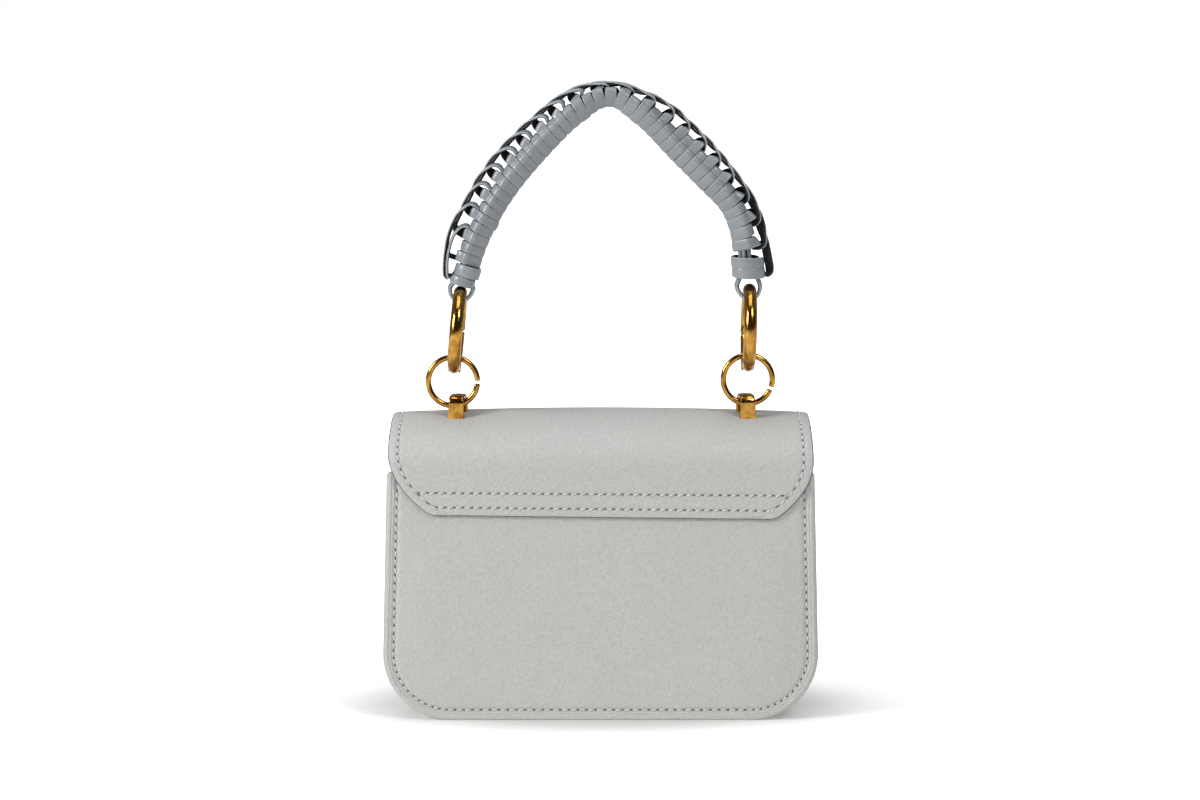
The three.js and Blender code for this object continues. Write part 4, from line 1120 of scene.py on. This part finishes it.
def strap_keys(hook):
    """Keys of the strap that rises behind a turn two hooks before, and of its run along the spine."""
    strap, run = np.array(STRAP), np.array(RUN)
    middle = TURN_MIDDLES[2 * hook - 2]
    along = middle + 5.0 * read_table(TURN_SLOPE, middle) - 0.4 + strap[:, 0]
    rising = np.column_stack([along, WOUND + strap[:, 1] * (spine_height(along) - 0.4), rolled(along, strap[:, 2:])])
    last = HOOKS[hook] if hook < len(HOOKS) else HOOKS[-1] + HOOK_SPACING
    along = last + run[:, 0] * HOOK_SPACING
    running = np.column_stack([along, read_table(SPINE, along) - run[:, 1], rolled(along, run[:, 2:])])
    return np.vstack([rising, running[along > rising[-1, 0] + 0.5]])


def arch_keys(hook):
    """Keys of an arch from the spine to its hook: the left form blended into the right form."""
    blend = smoothstep(*FORM_CHANGE, HOOKS[hook])
    table = np.array(ARCH_LEFT) + (np.array(ARCH_RIGHT) - np.array(ARCH_LEFT)) * blend
    along = HOOKS[hook] + table[:, 0] * HOOK_SPACING
    return np.column_stack([along, WOUND + table[:, 1] * spine_height(along), rolled(along, table[:, 2:])])


def lacing_parts():
    """The wound turns, one strip for each arch of the spine, and the strips at its ends."""
    runs = [FIRST_ARCH, np.vstack([LEFT_STRIP, arch_keys(1)])]
    runs += [np.vstack([strap_keys(hook), arch_keys(hook)]) for hook in range(2, len(HOOKS))]
    runs.append(np.vstack([strap_keys(len(HOOKS)), RIGHT_STRIP]))
    return [turns_part(), strip_on_handle(FIRST_STRAP, 5, width=2.4)] + [strip_on_handle(run, 5) for run in runs]


def cuff_part(middles, radii, lifts, widths, tilt):
    """Cuff: turns of a lace at the given places, which step on behind, each with its radius, lift and width.

    A tilt adds to the distance along for each step outwards and back. Both ends are drawn in behind.
    """
    count, spare = len(middles), 0.2
    done = np.linspace(-spare, count + spare, 40 * count)
    turn = np.clip(np.floor(done), 0, count - 1).astype(int)
    on = smoothstep(0.7, 1.0, done - turn)

    def stepped(values):
        values = np.array(values)
        return values[turn] + (values[np.minimum(turn + 1, count - 1)] - values[turn]) * on

    angle = np.pi / 2 + 2 * np.pi * (done - turn)
    drawn_in = 1 - 0.25 * (smoothstep(0.0, -spare, done) + smoothstep(count, count + spare, done))
    out = stepped(radii) * np.cos(angle) * drawn_in + stepped(lifts)
    back = stepped(radii) * np.sin(angle) * drawn_in
    centre, ahead, outward = handle_frame(stepped(middles) + tilt[0] * out + tilt[1] * back)
    return strip_part(centre + outward * out[:, None] + BACK * back[:, None], -ahead, stepped(widths))


def core_piece():
    """Core: a lace on the handle's middle line and a ring of laces round it, drawn in at the top."""
    along = np.linspace(2.0, HANDLE_LENGTH - 2.0, 160)
    centre, _, outward = handle_frame(along)
    girth = 1 - 0.24 * smoothstep(86, 98, along) * smoothstep(132, 120, along)
    parts = []
    turns = np.radians(CORE["first"] + 360 / CORE["strands"] * np.arange(CORE["strands"]))
    for out, back in [(0.0, 0.0), *zip(CORE["ring"] * np.cos(turns), CORE["ring"] * np.sin(turns))]:
        path = centre + (outward * out + BACK * back) * girth[:, None]
        parts.append(strip_part(path, BACK + 0 * path, CORE["width"] * girth, CORE["thickness"], CORE["bevel"]))
    return strips_piece("core_laces", parts, ["handle_core"], CORE_LEATHER)


def gate_ring_place(side):
    """Centre (x, z) and lean of a gate ring that hangs under the top of its wire ring."""
    inside_top = side["ring_z"] + WIRE_RING["outer"] - 2 * WIRE_RING["wire"]
    hang = GATE_RING["radius"] - GATE_RING["tube"]
    lean = np.radians(side["lean"])
    return side["hang_x"] + hang * np.sin(lean), inside_top - GAP + hang * np.cos(lean), lean


def end_loop_part(side):
    """End loop: a lace out of the cuff, round under the top of the gate ring and back into the cuff."""
    x, z, lean = gate_ring_place(side)
    top = np.array((x + GATE_RING["radius"] * np.sin(lean), z + GATE_RING["radius"] * np.cos(lean)))
    left = side["name"] == "left"
    mouth = np.array([0.0 if left else HANDLE_LENGTH])
    centre, _, outward = handle_frame(mouth)
    sign = 1 if left else -1
    inner = handle_frame(mouth + sign * LOOP["depth"])[0][0][[0, 2]]
    neck = centre[0][[0, 2]]
    right = -sign * outward[0][[0, 2]]
    under = GATE_RING["tube"] + GAP + LOOP["thickness"] / 2
    belly = top + 0.3 * (neck - top)
    belly[1] = top[1] + LOOP["belly_rise"]

    def leg(end, spread):
        return [inner + end * 0.7 * spread * right, neck + end * spread * right, belly + (end * LOOP["belly"], 0.0),
                top + (end * 0.8 * under, -0.72 * under)]

    keys = leg(-1, side["legs"][0]) + [top + (0.0, -under)] + leg(1, side["legs"][1])[::-1]
    line = smooth_line(keys, 8, 2)
    path = np.stack([line[:, 0], np.full(len(line), CHAIN_Y), line[:, 1]], -1)
    tangent = unit(np.gradient(path, axis=0))
    face = np.stack([-tangent[:, 2], 0 * tangent[:, 0], tangent[:, 0]], -1)
    return strip_part(path, 0.22 * face - BACK, LOOP["width"], LOOP["thickness"])


# Brass

def bar_part(angles, radius, tube, place, slants=(0.0, 0.0), sides=28, wedge=0.0):
    """Round bar bent along an arc: a circle of the tube carried round a circle, its ends cut square or on a slant.

    The arc lies in a plane of two directions, with a third across it, given by place(across, a, b). Over the wedge,
    in degrees, the bar narrows to its last end.
    """
    turn = np.linspace(0, 2 * np.pi, sides, endpoint=False)
    share = np.linspace(0, 1, len(angles))
    across = tube * np.sin(turn)
    narrow = 1 - 0.68 * smoothstep(angles[-1] - max(wedge, 1e-6), angles[-1], angles) * (wedge > 0)
    slant = slants[0] * (1 - share) ** 8 + slants[1] * share ** 8
    angle = np.radians(angles)[:, None] + slant[:, None] * across[None] / radius
    ends = np.minimum(1, np.sqrt(np.minimum(share, 1 - share) * (len(angles) - 1) + 0.72))
    reach = radius + tube * ends[:, None] * np.cos(turn)[None]
    points = place(across[None] * (ends * narrow)[:, None] + 0 * angle, reach * np.cos(angle), reach * np.sin(angle))
    quads, _, _ = grid_quads(len(angles), sides, wrap_cols=True)
    return points, quads, end_caps(len(angles), sides)


def coin_part(radius, half, centre_x, place, hinge, sides=32):
    """Round plate with rounded rims, turned about an axis across the ring at the hinge's place."""
    rim = 0.32
    bend = np.linspace(0, np.pi / 2, 5)
    profile = np.vstack([
        [(0.0, -half)], np.stack([radius - rim + rim * np.sin(bend), -half + rim - rim * np.cos(bend)], -1),
        np.stack([radius - rim + rim * np.cos(bend), half - rim + rim * np.sin(bend)], -1), [(0.0, half)]])
    turn = np.linspace(0, 2 * np.pi, sides, endpoint=False)
    a = hinge[0] + profile[:, :1] * np.cos(turn)[None]
    b = hinge[1] + profile[:, :1] * np.sin(turn)[None]
    points = place(centre_x + profile[:, 1:] + 0 * a, a, b)
    quads, _, _ = grid_quads(len(profile), sides, wrap_cols=True)
    return points, quads[:, ::-1], []


def fix_normals(piece):
    """Merges doubled points and turns all faces outwards."""
    work = bmesh.new()
    work.from_mesh(piece.data)
    bmesh.ops.remove_doubles(work, verts=work.verts, dist=1e-6)
    bmesh.ops.recalc_face_normals(work, faces=work.faces)
    work.to_mesh(piece.data)
    work.free()
    piece.data.polygons.foreach_set("use_smooth", np.ones(len(piece.data.polygons), bool))


def brass_piece(name, parts, nodes, body="bag"):
    """One brass object of several parts, with softened edges."""
    points, quads, caps = join_parts(parts)
    piece = add_piece(name, points, quads, AGED_BRASS, nodes, caps=caps, body=body)
    fix_normals(piece)
    soften = piece.modifiers.new("edges", "BEVEL")
    soften.width = 0.18 * MM
    soften.segments = 2
    soften.limit_method = "ANGLE"
    soften.angle_limit = np.radians(50)
    piece.modifiers.new("even", "WEIGHTED_NORMAL").keep_sharp = True
    return piece


def ring_place(side):
    """Function that puts (across, a, b) of a gate ring into the bag: a runs back, b up, then it leans about Y."""
    x, z, lean = gate_ring_place(side)

    def place(across, a, b):
        return np.stack([x + across * np.cos(lean) + b * np.sin(lean), CHAIN_Y + a,
                         z - across * np.sin(lean) + b * np.cos(lean)], -1)
    return place


def gate_ring_pieces(side):
    """Gate ring with a forked knuckle and pin, and its gate with a tongue between the cheeks."""
    place = ring_place(side)
    radius, tube = GATE_RING["radius"], GATE_RING["tube"]
    hinge_angle = np.radians(GATE["hinge"])
    hinge = (radius * np.cos(hinge_angle), radius * np.sin(hinge_angle))
    clear = np.degrees(2.75 / radius)
    seam = np.degrees(0.18 / radius)
    cheek = (tube - GATE["tongue"] - GAP) / 2
    cheek_x = GATE["tongue"] + GAP + cheek
    ring = [
        bar_part(np.linspace(GATE["tip"] + seam, 360 + GATE["hinge"] - clear, 130), radius, tube, place,
                 (GATE["slant"], 0.0), wedge=GATE["wedge"]),
        coin_part(GATE["knuckle"], cheek - 0.05, cheek_x, place, hinge),
        coin_part(GATE["knuckle"], cheek - 0.05, -cheek_x, place, hinge),
        coin_part(GATE["pin"] + 0.25, tube + 0.12, 0.0, place, hinge, sides=20),
    ]
    gate = [
        bar_part(np.linspace(GATE["hinge"] + clear + 0.8, GATE["tip"] - seam, 50), radius, tube, place,
                 (0.0, GATE["slant"])),
        coin_part(GATE["tongue_radius"], GATE["tongue"], 0.0, place, hinge),
    ]
    brass_piece(f"gate_ring_{side['name']}_brass", ring, [f"gate_ring_{side['name']}"])
    brass_piece(f"gate_{side['name']}_brass", gate, [f"gate_{side['name']}"], f"{side['name']}_gate")


def wire_ring_piece(side):
    """Split wire ring: a round bar about Y, open at its split."""
    start = side["split_at"] + WIRE_RING["split"] / 2
    angles = np.linspace(start, start + 360 - WIRE_RING["split"], 120)

    def place(across, a, b):
        return np.stack([side["ring_x"] + a, CHAIN_Y + across, side["ring_z"] + b], -1)

    part = bar_part(angles, WIRE_RING["outer"] - WIRE_RING["wire"], WIRE_RING["wire"], place, sides=20)
    brass_piece(f"wire_ring_{side['name']}_brass", [part], [f"wire_ring_{side['name']}"])


def bracket_piece(side):
    """Bracket: a flat bar bent over the wire ring on two legs, wider at its feet, whose ends turn outwards below."""
    sag = WIRE_RING["outer"] - WIRE_RING["wire"]
    reach = abs(side["ring_x"] - side["bracket_x"]) + BRACKET["top_width"] / 2
    lift = sag - np.sqrt(sag ** 2 - reach ** 2)
    top = side["ring_z"] - WIRE_RING["outer"] + 2 * WIRE_RING["wire"] + lift + GAP + BRACKET["rise"]
    leg, corner = BRACKET["leg"] / 2, BRACKET["corner"] - BRACKET["leg"] / 2
    y, foot = BRACKET["half_span"] - leg, BRACKET["tab_top"] - leg
    bend = np.linspace(0, np.pi / 2, 9)
    near = np.vstack([
        [(-y - BRACKET["tab"], foot), (-y - 1.6, foot)],
        np.stack([-y - 1.2 + 1.2 * np.sin(bend), foot + 1.2 - 1.2 * np.cos(bend)], -1),
        np.stack([np.full(8, -y), np.linspace(foot + 1.6, top - leg - corner - 0.3, 8)], -1),
        np.stack([-y + corner - corner * np.cos(bend), top - leg - corner + corner * np.sin(bend)], -1),
        [(-y / 3, top - leg)]])
    line = np.vstack([near, near[::-1] * (-1, 1)])
    path = np.stack([0 * line[:, 0], line[:, 0], line[:, 1]], -1)
    fall = np.clip((top - line[:, 1]) / (top - BRACKET["tab_top"]), 0, 1)
    width = BRACKET["top_width"] + (BRACKET["foot_width"] - BRACKET["top_width"]) * fall
    profile, _ = lace_profile(1.0, 0.12)
    section = np.column_stack([profile[:, 0] * (0.5 - 0.4 * profile[:, 1]), profile[:, 2]])
    tangent = unit(np.gradient(path, axis=0))
    up = np.cross(tangent, (-1.0, 0.0, 0.0))
    points = (path[:, None] + section[None, :, :1] * width[:, None, None] * np.array((-1.0, 0.0, 0.0))
              + section[None, :, 1:] * BRACKET["leg"] * up[:, None])
    turn = np.radians(-side["inward"] * BRACKET["toe_in"])
    x = points[..., 0] * np.cos(turn) - points[..., 1] * np.sin(turn) + side["bracket_x"]
    back = points[..., 0] * np.sin(turn) + points[..., 1] * np.cos(turn) + CHAIN_Y
    points = np.stack([x, back, points[..., 2]], -1)
    rows, cols = points.shape[:2]
    quads, _, _ = grid_quads(rows, cols, wrap_cols=True)
    caps = [cap[::-1] for cap in end_caps(rows, cols)]
    brass_piece(f"bracket_{side['name']}_brass", [(points, quads, caps)], [f"bracket_{side['name']}"])


# The bag

for name, node, outwards in (("back_panel_leather", "back_panel", -1), ("front_panel_leather", "front_panel", 1)):
    panel_piece(name, node, outwards)
    panel_stitches(name.replace("leather", "stitches"), outwards)
gusset_piece()
flap, flap_area = flap_piece()
flap_slants = (STITCH["slant"], STITCH["slant"], STITCH["row_slant"], STITCH["row_slant"])
flap_rows = [stitches(f"flap_stitches_{number}", *row, flap_slants[number])
             for number, row in enumerate(flap_stitch_rows())]

strips_piece("handle_lacing", lacing_parts(), ["handle_lace"])
strips_piece("handle_cuffs", [cuff_part(**cuff) for cuff in CUFFS])
core_piece()
for side in SIDES:
    strips_piece(f"end_loop_{side['name']}_lace", [end_loop_part(side)], [f"end_loop_{side['name']}"])
    bracket_piece(side)
    wire_ring_piece(side)
    gate_ring_pieces(side)
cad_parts["flap_magnet"].data.materials.clear()
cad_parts["flap_magnet"].data.materials.append(MAGNET_STEEL)


# Stage, light and camera

def floor_material(name):
    """White floor: it throws a little light back up, and glows to the viewer only away from the bag's foot.

    The glow grows with distance on an ellipse as wide and deep as the bag, so that the shadow under it stays.
    """
    material, tree, shader = new_material(name)
    shader.inputs["Base Color"].default_value = FLOOR_COLOUR
    shader.inputs["Roughness"].default_value = 0.8
    shader.inputs["Specular IOR Level"].default_value = 0.1
    oval = add_node(tree, "ShaderNodeVectorMath", {1: FLOOR_OVAL}, operation="MULTIPLY")
    wire(tree, object_place(tree), oval.inputs[0])
    length = add_node(tree, "ShaderNodeVectorMath", operation="LENGTH")
    wire(tree, oval.outputs["Vector"], length.inputs[0])
    near, far = (math_node(tree, "MULTIPLY", ramp(tree, length.outputs["Value"], low, high), amount)
                 for low, high, amount in FLOOR_GLOWS)
    glow = math_node(tree, "ADD", near, far)
    seen = add_node(tree, "ShaderNodeLightPath").outputs["Is Camera Ray"]
    shader.inputs["Emission Color"].default_value = (1, 1, 1, 1)
    strength = add_node(tree, "ShaderNodeMix", {"A": FLOOR_BOUNCE}, data_type="FLOAT")
    wire(tree, seen, strength.inputs["Factor"])
    wire(tree, glow, strength.inputs["B"])
    wire(tree, strength.outputs["Result"], shader.inputs["Emission Strength"])
    return material


def add_floor():
    """Plain square floor."""
    mesh = bpy.data.meshes.new("studio_floor")
    corners = np.array([(-1, -1, 0), (1, -1, 0), (1, 1, 0), (-1, 1, 0)]) * FLOOR_REACH
    mesh.from_pydata(corners.tolist(), [], [(0, 1, 2, 3)])
    mesh.materials.append(floor_material("studio_white"))
    floor = bpy.data.objects.new("studio_floor", mesh)
    bpy.context.scene.collection.objects.link(floor)


def add_area_light(name, place, target, size, power):
    """Soft rectangular light at a place, aimed at a target."""
    light = bpy.data.lights.new(name, "AREA")
    light.shape = "RECTANGLE"
    light.size, light.size_y = size
    light.energy = power
    lamp = bpy.data.objects.new(name, light)
    lamp.location = place
    lamp.rotation_euler = (Vector(target) - Vector(place)).to_track_quat("-Z", "Y").to_euler()
    bpy.context.scene.collection.objects.link(lamp)


def add_world():
    """White to the camera; a dimmer studio, darker towards the front, for light and reflections."""
    world = bpy.data.worlds.new("studio")
    world.use_nodes = True
    bpy.context.scene.world = world
    tree = world.node_tree
    background = tree.nodes["Background"]
    path = add_node(tree, "ShaderNodeLightPath")
    split = map_parts(tree, add_node(tree, "ShaderNodeTexCoord").outputs["Generated"])
    studio = mix_colours(tree, ramp(tree, split.outputs["Y"], -0.6, 0.7), STUDIO_DARK, STUDIO_LIGHT)
    wire(tree, mix_colours(tree, path.outputs["Is Camera Ray"], studio, (1.0, 1.0, 1.0)), background.inputs["Color"])
    background.inputs["Strength"].default_value = 1.0


def add_camera():
    """Camera fitted to the view of the bag's back."""
    data = bpy.data.cameras.new("photo_view")
    data.sensor_fit = "HORIZONTAL"
    data.sensor_width = CAMERA["sensor"]
    data.lens = CAMERA["focal_px"] * CAMERA["sensor"] / IMAGE_SIZE[0]
    data.clip_end = 100
    camera = bpy.data.objects.new("photo_view", data)
    camera.location = CAMERA["place"]
    camera.rotation_euler = (np.radians(CAMERA["tilt"]), 0, 0)
    bpy.context.scene.collection.objects.link(camera)
    bpy.context.scene.camera = camera


add_floor()
add_world()
for light in LIGHTS:
    add_area_light(**light)
add_camera()
bpy.context.scene.view_settings.view_transform = "Standard"
